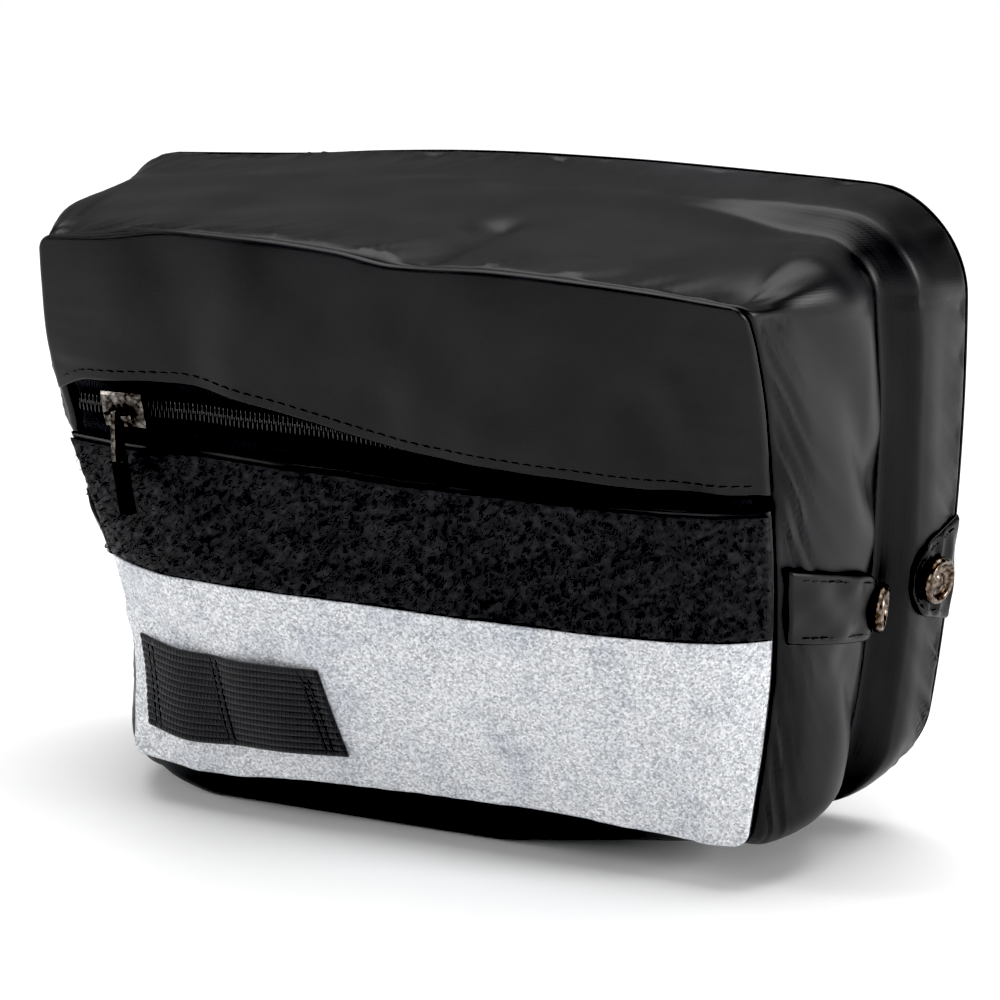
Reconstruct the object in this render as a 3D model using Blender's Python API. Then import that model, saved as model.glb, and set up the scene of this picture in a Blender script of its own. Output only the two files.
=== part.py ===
"""Waist bag of black coated cloth with a front zip, a loop tape, a reflective band and side snaps.

Metres, +Z up, the bag's front towards -Y. The origin lies in the flat middle of the base, on the floor.
Every cloth face is placed by three shares: across (-1 left to 1 right), height (0 base seam to 1 top)
and depth (0 front seam to 1 back seam), so that all pieces follow the same sizes.
"""
import math
from collections import namedtuple

import bmesh
import bpy
from mathutils import Matrix, Vector

# The bag's body
FRONT_TOP_WIDTH = 0.204
FRONT_BASE_WIDTH = 0.187
BACK_TOP_WIDTH = 0.250
BACK_BASE_WIDTH = 0.231
TOP_DEPTH = 0.105
BASE_DEPTH = 0.072
FRONT_HEIGHT = 0.157
BASE_SAG = 0.014
TOP_CROWN = 0.0125
FRONT_DOME = 0.006
BACK_DOME = 0.003
EDGE_BOW = 0.0036
EDGE_FALL = 0.012
BACK_BOW = 0.006
SIDE_SWELL = 0.005
GROOVE_DEPTH = 0.006
RIDGE_RISE = 0.002
FOLD_RISE = 0.0025
FRONT_CORNER = 0.004
BACK_TOP_LEFT_CORNER = 0.010
BACK_TOP_RIGHT_CORNER = 0.024
BACK_BASE_RIGHT_CORNER = 0.021
BACK_BASE_LEFT_CORNER = 0.018
BACK_PLANE = 0.0525
CLOTH = 0.0016
GAP = 0.0003
SEAM_GAP = 0.0006

# What lies on the front
BAND_HEIGHT = 0.060
BAND_THICKNESS = 0.0011
LOOP_HEIGHT = 0.037
LOOP_THICKNESS = 0.0022
POCKET_HEM = 0.0015
KEEPER_WIDTH = 0.027
KEEPER_LENGTH = 0.061
KEEPER_THICKNESS = 0.0016
KEEPER_ARCH = 0.0016
KEEPER_LEFT = 0.0065
KEEPER_BOTTOM = 0.0105
KEEPER_SKEW = 0.004
KEEPER_STITCH = 0.004
KEEPER_MIDDLE = 0.45

# The zip
ZIP_RISE = 0.0115
ZIP_WINDOW = 0.0175
ZIP_CHAIN_WIDTH = 0.0062
ZIP_CHAIN_THICKNESS = 0.0018
ZIP_TAPE_WIDTH = 0.013
ZIP_TAPE_THICKNESS = 0.001
ZIP_TAPE_SPLIT = 0.001
ZIP_END_CLEARANCE = 0.0025
SLIDER_FROM_LEFT = 0.0205
SLIDER_LENGTH = 0.013
SLIDER_WALL = 0.0014
SLIDER_CLEARANCE = 0.0009
BAIL_WIRE = 0.0015
BAIL_SPAN = 0.0085
BAIL_CLEARANCE = 0.0026
BAIL_FOOT = 0.0005
PULL_LENGTH = 0.0150
PULL_WIDTH = 0.0050
PULL_THICKNESS = 0.0014
PULL_EYE = 0.0011
PULL_ROUND = 0.3
LINK_CORD = 0.0011
LINK_EYE = 0.0013
LINK_LENGTH = 0.0180
LINK_LEAN = math.radians(9)

# The side tabs and their snaps
TAB_THICKNESS = 0.0015
FRONT_TAB_HEIGHT = 0.022
BACK_TAB_HEIGHT = 0.029
FRONT_TAB_END_HEIGHT = 0.018
BACK_TAB_END_HEIGHT = 0.019
TAB_END_ROUND = 0.35
TAB_TIP = 0.97
FRONT_TAB_CENTRE = 0.069
FRONT_SNAP_CENTRE = 0.058
BACK_SNAP_CENTRE = 0.063
FRONT_TAB_START = 0.03
FRONT_SNAP_DEPTH = 0.50
FRONT_TAB_END = 0.61
BACK_TAB_START = 0.985
BACK_SNAP_DEPTH = 0.82
BACK_TAB_END = 0.735
SNAP_DIAMETER = 0.0135
SNAP_RISE = 0.0032

# The belt tunnel on the hidden back
TUNNEL_WIDTH = 0.190
TUNNEL_BELT = 0.050
TUNNEL_CLEAR = 0.0060
TUNNEL_HEM = 0.008
TUNNEL_CENTRE = 0.098
TUNNEL_ROUND = 0.006

# Heights over the base seam that follow from those above
LOOP_TOP = BAND_HEIGHT + LOOP_HEIGHT
POCKET_TOP = LOOP_TOP + POCKET_HEM
ZIP_LINE = LOOP_TOP + ZIP_RISE

# How sharply a form gathers towards the edge or the middle that it belongs to: powers of a share
SAG_POWER = 3
CROWN_POWER = 3
BOW_POWER = 3
DOME_POWER = 3
FALL_POWER = 6
FOLD_FADE_POWER = 8
GROOVE_POWER = 1.5
FRONT_FULLNESS = 0.8
BACK_FULLNESS = 0.6
FOLD_FULLNESS = 0.5

# Grid counts, and the angle past which an edge is sharp
ACROSS_CELLS = 18
CORNER_CELLS = 4
TOP_CELLS = 14
BASE_CELLS = 12
SIDE_CELLS = 12
BACK_CELLS = 12
POCKET_CELLS = 9
UPPER_CELLS = 7
BAND_CELLS = 5
LOOP_CELLS = 3
TAB_CELLS = 9
TAB_LEVELS = 4
KEEPER_CELLS = 20
KEEPER_LEVELS = 4
TURNED_SIDES = 16
EYE_SIDES = 8
SHARP_ANGLE = math.radians(35)

# Where the front's side seams stray from a straight line: shares of EDGE_BOW out and EDGE_FALL back.
SeamRow = namedtuple("SeamRow", "height left_out left_back right_out right_back")
FRONT_SEAMS = [
    SeamRow(0.00, 0.0, 0.0, 0.0, 0.0),
    SeamRow(0.08, 0.0, 0.4, 0.2, 0.3),
    SeamRow(0.20, 0.0, 0.9, 0.4, 0.8),
    SeamRow(0.32, 0.1, 0.9, 0.7, 1.0),
    SeamRow(0.50, 0.3, 0.4, 1.0, 0.9),
    SeamRow(0.65, 0.7, 0.1, 1.0, 0.7),
    SeamRow(0.80, 1.0, 0.0, 0.9, 0.5),
    SeamRow(0.92, 0.5, 0.0, 0.6, 0.2),
    SeamRow(1.00, 0.0, 0.0, 0.0, 0.0),
]

# The base: the front seam's line and the sagging cloth behind it, as shares of BASE_SAG over the floor.
BaseRow = namedtuple("BaseRow", "across line belly")
BASE_LINES = [
    BaseRow(-1.00, 1.00, 0.74),
    BaseRow(-0.88, 0.89, 0.20),
    BaseRow(-0.76, 0.80, 0.00),
    BaseRow(-0.40, 0.96, 0.00),
    BaseRow(0.00, 1.07, 0.00),
    BaseRow(0.14, 1.10, 0.00),
    BaseRow(0.30, 1.11, 0.14),
    BaseRow(0.52, 1.08, 0.38),
    BaseRow(0.74, 1.01, 0.60),
    BaseRow(0.90, 0.96, 0.76),
    BaseRow(1.00, 1.00, 0.92),
]
BELLY_START = 0.14

# The top: how far its front and back edges crown over their corners, as shares of TOP_CROWN.
TopRow = namedtuple("TopRow", "across front back")
TOP_LINES = [
    TopRow(-1.00, 0.00, 0.10),
    TopRow(-0.84, 0.12, 0.22),
    TopRow(-0.56, 0.42, 0.45),
    TopRow(-0.38, 0.42, 0.66),
    TopRow(-0.13, 0.33, 0.87),
    TopRow(0.05, 0.15, 0.95),
    TopRow(0.33, 0.25, 1.00),
    TopRow(0.68, 0.18, 0.98),
    TopRow(1.00, 0.00, 0.90),
]

# The gusset from front to back: shares of SIDE_SWELL, GROOVE_DEPTH and RIDGE_RISE.
GussetRow = namedtuple("GussetRow", "depth swell groove ridge")
GUSSET_ROWS = [
    GussetRow(0.00, 0.0, 0.0, 0.0),
    GussetRow(0.05, 0.4, 0.0, 0.0),
    GussetRow(0.14, 0.8, 0.0, 0.0),
    GussetRow(0.28, 1.0, 0.0, 0.0),
    GussetRow(0.42, 0.8, 0.1, 0.0),
    GussetRow(0.53, 0.4, 0.4, 0.0),
    GussetRow(0.61, 0.1, 0.8, 0.0),
    GussetRow(0.66, 0.0, 1.0, 0.0),
    GussetRow(0.70, 0.0, 0.5, 0.2),
    GussetRow(0.74, 0.0, 0.0, 0.8),
    GussetRow(0.79, 0.0, 0.0, 1.0),
    GussetRow(0.87, 0.0, 0.0, 0.7),
    GussetRow(0.95, 0.0, 0.0, 0.3),
    GussetRow(1.00, 0.0, 0.0, 0.0),
]
GROOVE_REACH_RIGHT = 0.3
GROOVE_REACH_LEFT = 0.85
LEFT_GROOVE_TOP = 0.7

# Soft folds of the front, from one point to another: reach is a share of FRONT_HEIGHT, rise of FOLD_RISE.
FoldRow = namedtuple("FoldRow", "from_across from_height to_across to_height reach rise")
FRONT_FOLDS = [
    FoldRow(-0.72, 0.92, -0.90, 0.72, 0.10, 0.8),
    FoldRow(-0.32, 0.98, -0.46, 0.80, 0.08, 0.7),
    FoldRow(0.08, 0.97, -0.02, 0.78, 0.07, -0.8),
    FoldRow(0.96, 0.92, 0.88, 0.62, 0.06, 0.7),
    FoldRow(-1.00, 0.30, -0.70, 0.22, 0.08, -0.9),
    FoldRow(0.30, 0.70, 0.74, 0.62, 0.08, 0.6),
]

# The window over the zip, wide at the slider and closing to the right, as shares of ZIP_WINDOW.
LipRow = namedtuple("LipRow", "across opening")
ZIP_LIP = [
    LipRow(-1.00, 0.75),
    LipRow(-0.88, 1.00),
    LipRow(-0.62, 1.02),
    LipRow(-0.36, 0.80),
    LipRow(-0.08, 0.55),
    LipRow(0.25, 0.36),
    LipRow(0.65, 0.28),
    LipRow(1.00, 0.25),
]

# A snap cap's half section, from the middle of its foot to its boss: shares of its radius and SNAP_RISE.
SnapRow = namedtuple("SnapRow", "out rise")
SNAP_ROWS = [
    SnapRow(0.00, 0.00),
    SnapRow(0.80, 0.00),
    SnapRow(0.96, 0.18),
    SnapRow(1.00, 0.45),
    SnapRow(0.95, 0.85),
    SnapRow(0.84, 1.00),
    SnapRow(0.72, 0.92),
    SnapRow(0.62, 0.62),
    SnapRow(0.34, 0.55),
    SnapRow(0.24, 0.72),
    SnapRow(0.00, 0.78),
]

# The tabs: shares of the gusset's depth, and heights in metres over the base seam.
Tab = namedtuple("Tab", "name start end start_centre end_centre start_height end_height snap_depth")
TABS = [
    Tab("front", FRONT_TAB_START, FRONT_TAB_END, FRONT_TAB_CENTRE, FRONT_SNAP_CENTRE,
        FRONT_TAB_HEIGHT, FRONT_TAB_END_HEIGHT, FRONT_SNAP_DEPTH),
    Tab("back", BACK_TAB_START, BACK_TAB_END, BACK_SNAP_CENTRE, BACK_SNAP_CENTRE,
        BACK_TAB_HEIGHT, BACK_TAB_END_HEIGHT, BACK_SNAP_DEPTH),
]

Finish = namedtuple("Finish", "colour roughness metallic")
FINISHES = {
    "coated_cloth": Finish((0.012, 0.012, 0.013, 1), 0.45, 0.0),
    "loop_pile": Finish((0.008, 0.008, 0.008, 1), 0.95, 0.0),
    "reflective_cloth": Finish((0.42, 0.44, 0.47, 1), 0.55, 0.1),
    "ribbed_webbing": Finish((0.010, 0.010, 0.011, 1), 0.85, 0.0),
    "zip_textile": Finish((0.012, 0.012, 0.012, 1), 0.80, 0.0),
    "zip_coil": Finish((0.012, 0.012, 0.012, 1), 0.35, 0.0),
    "dark_metal": Finish((0.10, 0.095, 0.09, 1), 0.30, 1.0),
}


def lerp(low, high, share):
    return low + (high - low) * share


def clamp(share):
    return min(1.0, max(0.0, share))


def smooth(share):
    share = clamp(share)
    return share * share * (3 - 2 * share)


def arc(height):
    """0 at the base and the top, 1 half way up."""
    return math.sin(math.pi * clamp(height))


def read_table(table, key, column, at):
    """The table's column at a place between two rows, with level peaks (monotone cubic)."""
    keys = [getattr(row, key) for row in table]
    values = [getattr(row, column) for row in table]
    if at <= keys[0]:
        return values[0]
    if at >= keys[-1]:
        return values[-1]
    steps = [(values[i + 1] - values[i]) / (keys[i + 1] - keys[i]) for i in range(len(keys) - 1)]
    slopes = [steps[0]]
    for before, after in zip(steps, steps[1:]):
        slopes.append(0.0 if before * after <= 0 else 2 * before * after / (before + after))
    slopes.append(steps[-1])
    i = max(k for k in range(len(keys) - 1) if keys[k] <= at)
    run = keys[i + 1] - keys[i]
    u = (at - keys[i]) / run
    return (
        values[i] * (1 + 2 * u) * (1 - u) ** 2
        + slopes[i] * run * u * (1 - u) ** 2
        + values[i + 1] * u * u * (3 - 2 * u)
        + slopes[i + 1] * run * u * u * (u - 1)
    )


def half_width(height, depth):
    front = lerp(FRONT_BASE_WIDTH, FRONT_TOP_WIDTH, height)
    back = lerp(BACK_BASE_WIDTH, BACK_TOP_WIDTH, height)
    return lerp(front, back, depth) / 2


def place_x(across, height, depth):
    side = "right_out" if across > 0 else "left_out"
    bow = EDGE_BOW * read_table(FRONT_SEAMS, "height", side, height) * (1 - depth)
    bow += BACK_BOW * arc(height) ** BACK_FULLNESS * depth
    return across * half_width(height, depth) + math.copysign(bow * abs(across) ** BOW_POWER, across)


def place_z(across, height, depth):
    line = read_table(BASE_LINES, "across", "line", across)
    belly = read_table(BASE_LINES, "across", "belly", across)
    low = BASE_SAG * lerp(line, belly, smooth(depth / BELLY_START))
    front_crown = read_table(TOP_LINES, "across", "front", across)
    back_crown = read_table(TOP_LINES, "across", "back", across)
    crown = TOP_CROWN * lerp(front_crown, back_crown, depth)
    straight = BASE_SAG + FRONT_HEIGHT * height
    return straight + (low - BASE_SAG) * (1 - height) ** SAG_POWER + crown * height**CROWN_POWER


def fold_rise(across, height):
    """How far the soft folds lift the front here, as a length."""
    here = Vector((across * FRONT_TOP_WIDTH / 2, height * FRONT_HEIGHT))
    total = 0.0
    for fold in FRONT_FOLDS:
        start = Vector((fold.from_across * FRONT_TOP_WIDTH / 2, fold.from_height * FRONT_HEIGHT))
        run = Vector((fold.to_across * FRONT_TOP_WIDTH / 2, fold.to_height * FRONT_HEIGHT)) - start
        along = clamp((here - start).dot(run) / run.length_squared)
        away = (here - start - run * along).length / (fold.reach * FRONT_HEIGHT)
        total += FOLD_RISE * fold.rise * math.exp(-away * away)
    return total * arc(height) ** FOLD_FULLNESS


def front_y(across, height):
    """The front face leans, domes in the middle and falls back at its side seams."""
    side = "right_back" if across > 0 else "left_back"
    lean = BACK_PLANE - lerp(BASE_DEPTH, TOP_DEPTH, height)
    dome = FRONT_DOME * (1 - abs(across) ** DOME_POWER) * arc(height) ** FRONT_FULLNESS
    fall = EDGE_FALL * read_table(FRONT_SEAMS, "height", side, height) * abs(across) ** FALL_POWER
    return lean - dome + fall - fold_rise(across, height) * (1 - abs(across) ** FOLD_FADE_POWER)


def back_y(across, height):
    return BACK_PLANE + BACK_DOME * (1 - across * across) * arc(height)


def corner_radii(depth):
    """The outline's corner radii in the order top right, top left, base left, base right."""
    ends = (BACK_TOP_RIGHT_CORNER, BACK_TOP_LEFT_CORNER, BACK_BASE_LEFT_CORNER, BACK_BASE_RIGHT_CORNER)
    return [lerp(FRONT_CORNER, end, depth) for end in ends]


def outline_shares(depth):
    """The outline at one depth as (across, height, turn), anticlockwise from the right side seen from
    the front. turn is the outward direction's angle."""
    wide, tall = half_width(0.5, depth), FRONT_HEIGHT / 2
    radii = corner_radii(depth)
    signs = [(1, 1), (-1, 1), (-1, -1), (1, -1)]
    cells = [TOP_CELLS, SIDE_CELLS, BASE_CELLS, SIDE_CELLS]
    found = []
    for i, (sign_x, sign_z) in enumerate(signs):
        start_angle = math.pi / 2 * i
        across_radius, height_radius = radii[i] / wide, radii[i] / tall
        for step in range(CORNER_CELLS + 1):
            angle = start_angle + math.pi / 2 * step / CORNER_CELLS
            across = sign_x * (1 - across_radius) + across_radius * math.cos(angle)
            level = sign_z * (1 - height_radius) + height_radius * math.sin(angle)
            found.append((across, (level + 1) / 2, angle))
        after = (i + 1) % 4
        next_x, next_z = signs[after]
        end_angle = math.pi / 2 * (i + 1)
        next_across = next_x * (1 - radii[after] / wide) + radii[after] / wide * math.cos(end_angle)
        next_level = next_z * (1 - radii[after] / tall) + radii[after] / tall * math.sin(end_angle)
        across, height, _ = found[-1]
        for step in range(1, cells[i]):
            share = step / cells[i]
            level = lerp(height, (next_level + 1) / 2, share)
            found.append((lerp(across, next_across, share), level, end_angle))
    return found


def gusset_point(across, height, turn, depth):
    """A point of the gusset's outer face, between the front and back seams."""
    swell = read_table(GUSSET_ROWS, "depth", "swell", depth)
    groove = read_table(GUSSET_ROWS, "depth", "groove", depth)
    ridge = read_table(GUSSET_ROWS, "depth", "ridge", depth)
    outward = Vector((math.cos(turn), 0, math.sin(turn)))
    start = GROOVE_REACH_RIGHT if across > 0 else GROOVE_REACH_LEFT
    reach = max(0.0, (abs(across) - start) / (1 - start)) ** GROOVE_POWER
    if across < 0:
        reach *= 1 - smooth((height - LEFT_GROOVE_TOP) / (1 - LEFT_GROOVE_TOP))
    out = SIDE_SWELL * swell * abs(math.cos(turn))
    out += (RIDGE_RISE * ridge - GROOVE_DEPTH * groove) * reach
    seam_front = front_y(across, height) + CLOTH + SEAM_GAP
    seam_back = back_y(across, height) - SEAM_GAP
    y = lerp(seam_front, seam_back, depth)
    return Vector((place_x(across, height, depth), y, place_z(across, height, depth))) + outward * out


def gusset_rows():
    rows = []
    for row in GUSSET_ROWS:
        outline = outline_shares(row.depth)
        rows.append([gusset_point(across, height, turn, row.depth) for across, height, turn in outline])
    return rows


def side_point(side, height, depth):
    """The gusset's outer face at mid side, where side is 1 on the right and -1 on the left."""
    return gusset_point(side, height, 0.0 if side > 0 else math.pi, depth)


def side_frame(side, height, depth):
    """The place and the outward direction of the gusset's face at mid side."""
    step = 0.02
    along = side_point(side, height, depth + step) - side_point(side, height, depth - step)
    up = side_point(side, height + step, depth) - side_point(side, height - step, depth)
    out = along.cross(up).normalized() * side
    return side_point(side, height, depth), out


def edge_share(height):
    """How far across the front reaches at this height, which is less than 1 in its rounded corners."""
    tall = FRONT_CORNER / FRONT_HEIGHT
    inside = clamp((abs(height - 0.5) - (0.5 - tall)) / tall)
    across_radius = FRONT_CORNER / half_width(0.5, 0)
    return 1 - across_radius + across_radius * math.sqrt(1 - inside**2)


def across_shares():
    shares = [-1 + 2 * i / ACROSS_CELLS for i in range(ACROSS_CELLS + 1)]
    return [0.5 * s + 0.5 * math.sin(s * math.pi / 2) for s in shares]


def level_shares(low, high, cells):
    """Heights from low to high as shares, with a row at each step of the rounded corners between."""
    tall = FRONT_CORNER / FRONT_HEIGHT
    turns = [math.pi / 2 * i / CORNER_CELLS for i in range(CORNER_CELLS)]
    corner = [tall * (1 - math.cos(turn)) for turn in turns]
    start = tall if low < tall else low
    stop = 1 - tall if high > 1 - tall else high
    middle = [lerp(start, stop, i / cells) for i in range(cells + 1)]
    below = [share for share in corner if low <= share < start]
    above = [1 - share for share in reversed(corner) if stop < 1 - share <= high]
    return below + middle + above


def front_point(across, height, lift=0.0):
    y = front_y(across, height) - lift
    return Vector((place_x(across, height, 0), y, place_z(across, height, 0)))


def finish(name):
    material = bpy.data.materials.get(name)
    if material is None:
        look = FINISHES[name]
        material = bpy.data.materials.new(name)
        material.use_nodes = True
        shader = material.node_tree.nodes["Principled BSDF"]
        shader.inputs["Base Color"].default_value = look.colour
        shader.inputs["Roughness"].default_value = look.roughness
        shader.inputs["Metallic"].default_value = look.metallic
        material.diffuse_color = look.colour
    return material


def keep(name, work, finish_name):
    """Turns a bmesh into a named object with its own finish and outward faces."""
    bmesh.ops.recalc_face_normals(work, faces=work.faces)
    if work.calc_volume(signed=True) < 0:
        bmesh.ops.reverse_faces(work, faces=work.faces)
    mesh = bpy.data.meshes.new(name)
    work.to_mesh(mesh)
    work.free()
    mesh.shade_smooth()
    mesh.set_sharp_from_angle(angle=SHARP_ANGLE)
    mesh.materials.append(finish(finish_name))
    piece = bpy.data.objects.new(name, mesh)
    bpy.context.collection.objects.link(piece)
    return piece


def skin(name, outer, inner, finish_name, ring=False):
    """A closed sheet between two grids of points, in rows of equal length. ring joins each row's ends."""
    work = bmesh.new()
    grids = [[[work.verts.new(point) for point in row] for row in grid] for grid in (outer, inner)]
    rows, columns = len(outer), len(outer[0])
    spans = columns if ring else columns - 1
    for grid in grids:
        for i in range(rows - 1):
            for j in range(spans):
                k = (j + 1) % columns
                work.faces.new((grid[i][j], grid[i][k], grid[i + 1][k], grid[i + 1][j]))
    for i in (0, rows - 1):
        for j in range(spans):
            k = (j + 1) % columns
            work.faces.new((grids[0][i][j], grids[0][i][k], grids[1][i][k], grids[1][i][j]))
    if not ring:
        for j in (0, columns - 1):
            for i in range(rows - 1):
                work.faces.new((grids[0][i][j], grids[0][i + 1][j], grids[1][i + 1][j], grids[1][i][j]))
    return keep(name, work, finish_name)


def moved(grid, shift):
    return [[point + shift for point in row] for row in grid]


def ring_inner(rows, wall):
    """The gusset's inner face: each point moved in by the wall along the grid's own normal."""
    count, columns = len(rows), len(rows[0])
    inner = []
    for i in range(count):
        below, above = rows[max(0, i - 1)], rows[min(count - 1, i + 1)]
        line = []
        for j in range(columns):
            around = rows[i][(j + 1) % columns] - rows[i][(j - 1) % columns]
            normal = around.cross(above[j] - below[j]).normalized()
            if i in (0, count - 1):
                normal = Vector((normal.x, 0, normal.z)).normalized()
            outward = rows[i][j] - Vector((0, rows[i][j].y, BASE_SAG + FRONT_HEIGHT / 2))
            line.append(rows[i][j] - normal * math.copysign(wall, normal.dot(outward)))
        inner.append(line)
    return inner


def front_grid(low, high, cells, lift=0.0):
    """Points over the front between two heights in metres."""
    rows = []
    for height in level_shares(low / FRONT_HEIGHT, high / FRONT_HEIGHT, cells):
        reach = edge_share(height)
        rows.append([front_point(across * reach, height, lift) for across in across_shares()])
    return rows


def make_body():
    outer = gusset_rows()
    skin("gusset", outer, ring_inner(outer, CLOTH), "coated_cloth", ring=True)
    rows = []
    radii = corner_radii(1)
    wide = half_width(0.5, 1)
    for i in range(BACK_CELLS + 1):
        angle = math.pi * i / BACK_CELLS
        height = 0.5 - 0.5 * math.cos(angle)
        from_end = FRONT_HEIGHT * min(height, 1 - height)
        right, left = (radii[3], radii[2]) if height < 0.5 else (radii[0], radii[1])
        ends = []
        for radius in (left, right):
            inside = max(0.0, 1 - from_end / radius)
            ends.append(1 - radius / wide * (1 - math.sqrt(1 - inside * inside)))
        line = []
        for share in across_shares():
            across = share * (ends[0] if share < 0 else ends[1])
            x, z = place_x(across, height, 1), place_z(across, height, 1)
            line.append(Vector((x, back_y(across, height), z)))
        rows.append(line)
    skin("back_panel", moved(rows, Vector((0, CLOTH, 0))), rows, "coated_cloth")


def make_front():
    back = Vector((0, CLOTH, 0))
    lower = front_grid(0, POCKET_TOP, POCKET_CELLS)
    skin("front_lower_panel", lower, moved(lower, back), "coated_cloth")
    upper = []
    top_levels = level_shares(POCKET_TOP / FRONT_HEIGHT, 1, UPPER_CELLS)
    for level in top_levels:
        share = (level - top_levels[0]) / (1 - top_levels[0])
        line = []
        for across in across_shares():
            opening = ZIP_WINDOW * read_table(ZIP_LIP, "across", "opening", across) / FRONT_HEIGHT
            height = level + opening * (1 - share) ** 2
            line.append(front_point(across * edge_share(height), height))
        upper.append(line)
    skin("front_upper_panel", upper, moved(upper, back), "coated_cloth")
    lift = BAND_THICKNESS + GAP
    band = front_grid(0, BAND_HEIGHT - GAP, BAND_CELLS, lift)
    skin("reflective_band", band, moved(band, Vector((0, BAND_THICKNESS, 0))), "reflective_cloth")
    lift = LOOP_THICKNESS + GAP
    loop = front_grid(BAND_HEIGHT, LOOP_TOP, LOOP_CELLS, lift)
    skin("loop_strip", loop, moved(loop, Vector((0, LOOP_THICKNESS, 0))), "loop_pile")


def make_keeper():
    """Webbing on the band, sewn down at both ends and mid way, so that it stands in two low arches."""
    under = BAND_THICKNESS + 2 * GAP
    stitched = KEEPER_STITCH / KEEPER_LENGTH
    rows = []
    for k in range(KEEPER_LEVELS + 1):
        rise = k / KEEPER_LEVELS
        height = (KEEPER_BOTTOM + KEEPER_WIDTH * rise) / FRONT_HEIGHT
        line = []
        for j in range(KEEPER_CELLS + 1):
            share = j / KEEPER_CELLS
            along = KEEPER_LENGTH * share + KEEPER_SKEW * (1 - rise) * share
            across = (KEEPER_LEFT + along) / half_width(height, 0) - 1
            start, end = (0, KEEPER_MIDDLE) if share < KEEPER_MIDDLE else (KEEPER_MIDDLE, 1)
            part = (share - start) / (end - start)
            arch = KEEPER_ARCH * arc((part - stitched) / (1 - 2 * stitched))
            line.append(front_point(across, height, under + arch + KEEPER_THICKNESS))
        rows.append(line)
    skin("light_keeper", rows, moved(rows, Vector((0, KEEPER_THICKNESS, 0))), "ribbed_webbing")


def zip_depth(rise):
    """How far behind the front's outer face the zip tape lies, at a distance from the zip's line."""
    sewn = CLOTH + SEAM_GAP
    sunk = sewn + ZIP_CHAIN_THICKNESS + GAP
    return lerp(sunk, sewn, smooth((abs(rise) - ZIP_CHAIN_WIDTH / 2) / (ZIP_TAPE_WIDTH / 3)))


def zip_grid(rises, behind):
    """Points along the zip at distances over its line. behind gives the depth under the front's face."""
    rows = []
    for rise in rises:
        height = (ZIP_LINE + rise) / FRONT_HEIGHT
        reach = 1 - (CLOTH + ZIP_END_CLEARANCE) / half_width(height, 0)
        rows.append([front_point(across * reach, height, -behind(rise)) for across in across_shares()])
    return rows


def make_zip():
    half = ZIP_CHAIN_WIDTH / 2
    bends = [half, half + ZIP_TAPE_WIDTH / 6, half + ZIP_TAPE_WIDTH / 3]
    rises = [ZIP_TAPE_SPLIT / 2] + bends + [ZIP_TAPE_WIDTH]
    for name, side in (("zip_tape_upper", 1), ("zip_tape_lower", -1)):
        rows = zip_grid([side * rise for rise in rises], zip_depth)
        skin(name, rows, moved(rows, Vector((0, ZIP_TAPE_THICKNESS, 0))), "zip_textile")
    sunk = CLOTH + GAP
    half -= GAP
    rows = zip_grid([-half, -half / 3, half / 3, half], lambda rise: sunk)
    skin("zip_chain", rows, moved(rows, Vector((0, ZIP_CHAIN_THICKNESS, 0))), "zip_coil")


def prism(work, outline, low, high, to_point):
    """A closed prism: the outline's points in a plane, between two heights, placed by to_point."""
    lines = [[work.verts.new(to_point(a, b, level)) for a, b in outline] for level in (low, high)]
    count = len(outline)
    for i in range(count):
        j = (i + 1) % count
        work.faces.new((lines[0][i], lines[0][j], lines[1][j], lines[1][i]))
    work.faces.new(lines[0])
    work.faces.new(list(reversed(lines[1])))


def front_placing(across, height, lift):
    """The world matrix on the front: its X follows the zip, its Z points up it and its -Y out of it."""
    step = 0.01
    spot = front_point(across, height, lift)
    along = (front_point(across + step, height) - front_point(across - step, height)).normalized()
    up = front_point(across, height + step) - front_point(across, height - step)
    out = along.cross(up).normalized()
    up = out.cross(along)
    return Matrix.Translation(spot) @ Matrix((along, -out, up)).transposed().to_4x4()


def rounded(width, height, radius, steps=4):
    """The corners of a round-cornered rectangle about the origin, anticlockwise."""
    points = []
    for i, (sign_a, sign_b) in enumerate([(1, 1), (-1, 1), (-1, -1), (1, -1)]):
        for step in range(steps + 1):
            angle = math.pi / 2 * (i + step / steps)
            a = sign_a * (width / 2 - radius) + radius * math.cos(angle)
            b = sign_b * (height / 2 - radius) + radius * math.sin(angle)
            points.append((a, b))
    return points


def framed(name, outer, hole, low, high, to_point, finish_name):
    """A plate with one hole: the outline and the hole hold equally many points, in the same order."""
    work = bmesh.new()
    grids = []
    for level in (low, high):
        loops = [[work.verts.new(to_point(a, b, level)) for a, b in loop] for loop in (outer, hole)]
        grids.append(loops)
    count = len(outer)
    for i in range(count):
        j = (i + 1) % count
        for grid in grids:
            work.faces.new((grid[0][i], grid[0][j], grid[1][j], grid[1][i]))
        for loop in (0, 1):
            work.faces.new((grids[0][loop][i], grids[0][loop][j], grids[1][loop][j], grids[1][loop][i]))
    return keep(name, work, finish_name)


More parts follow.
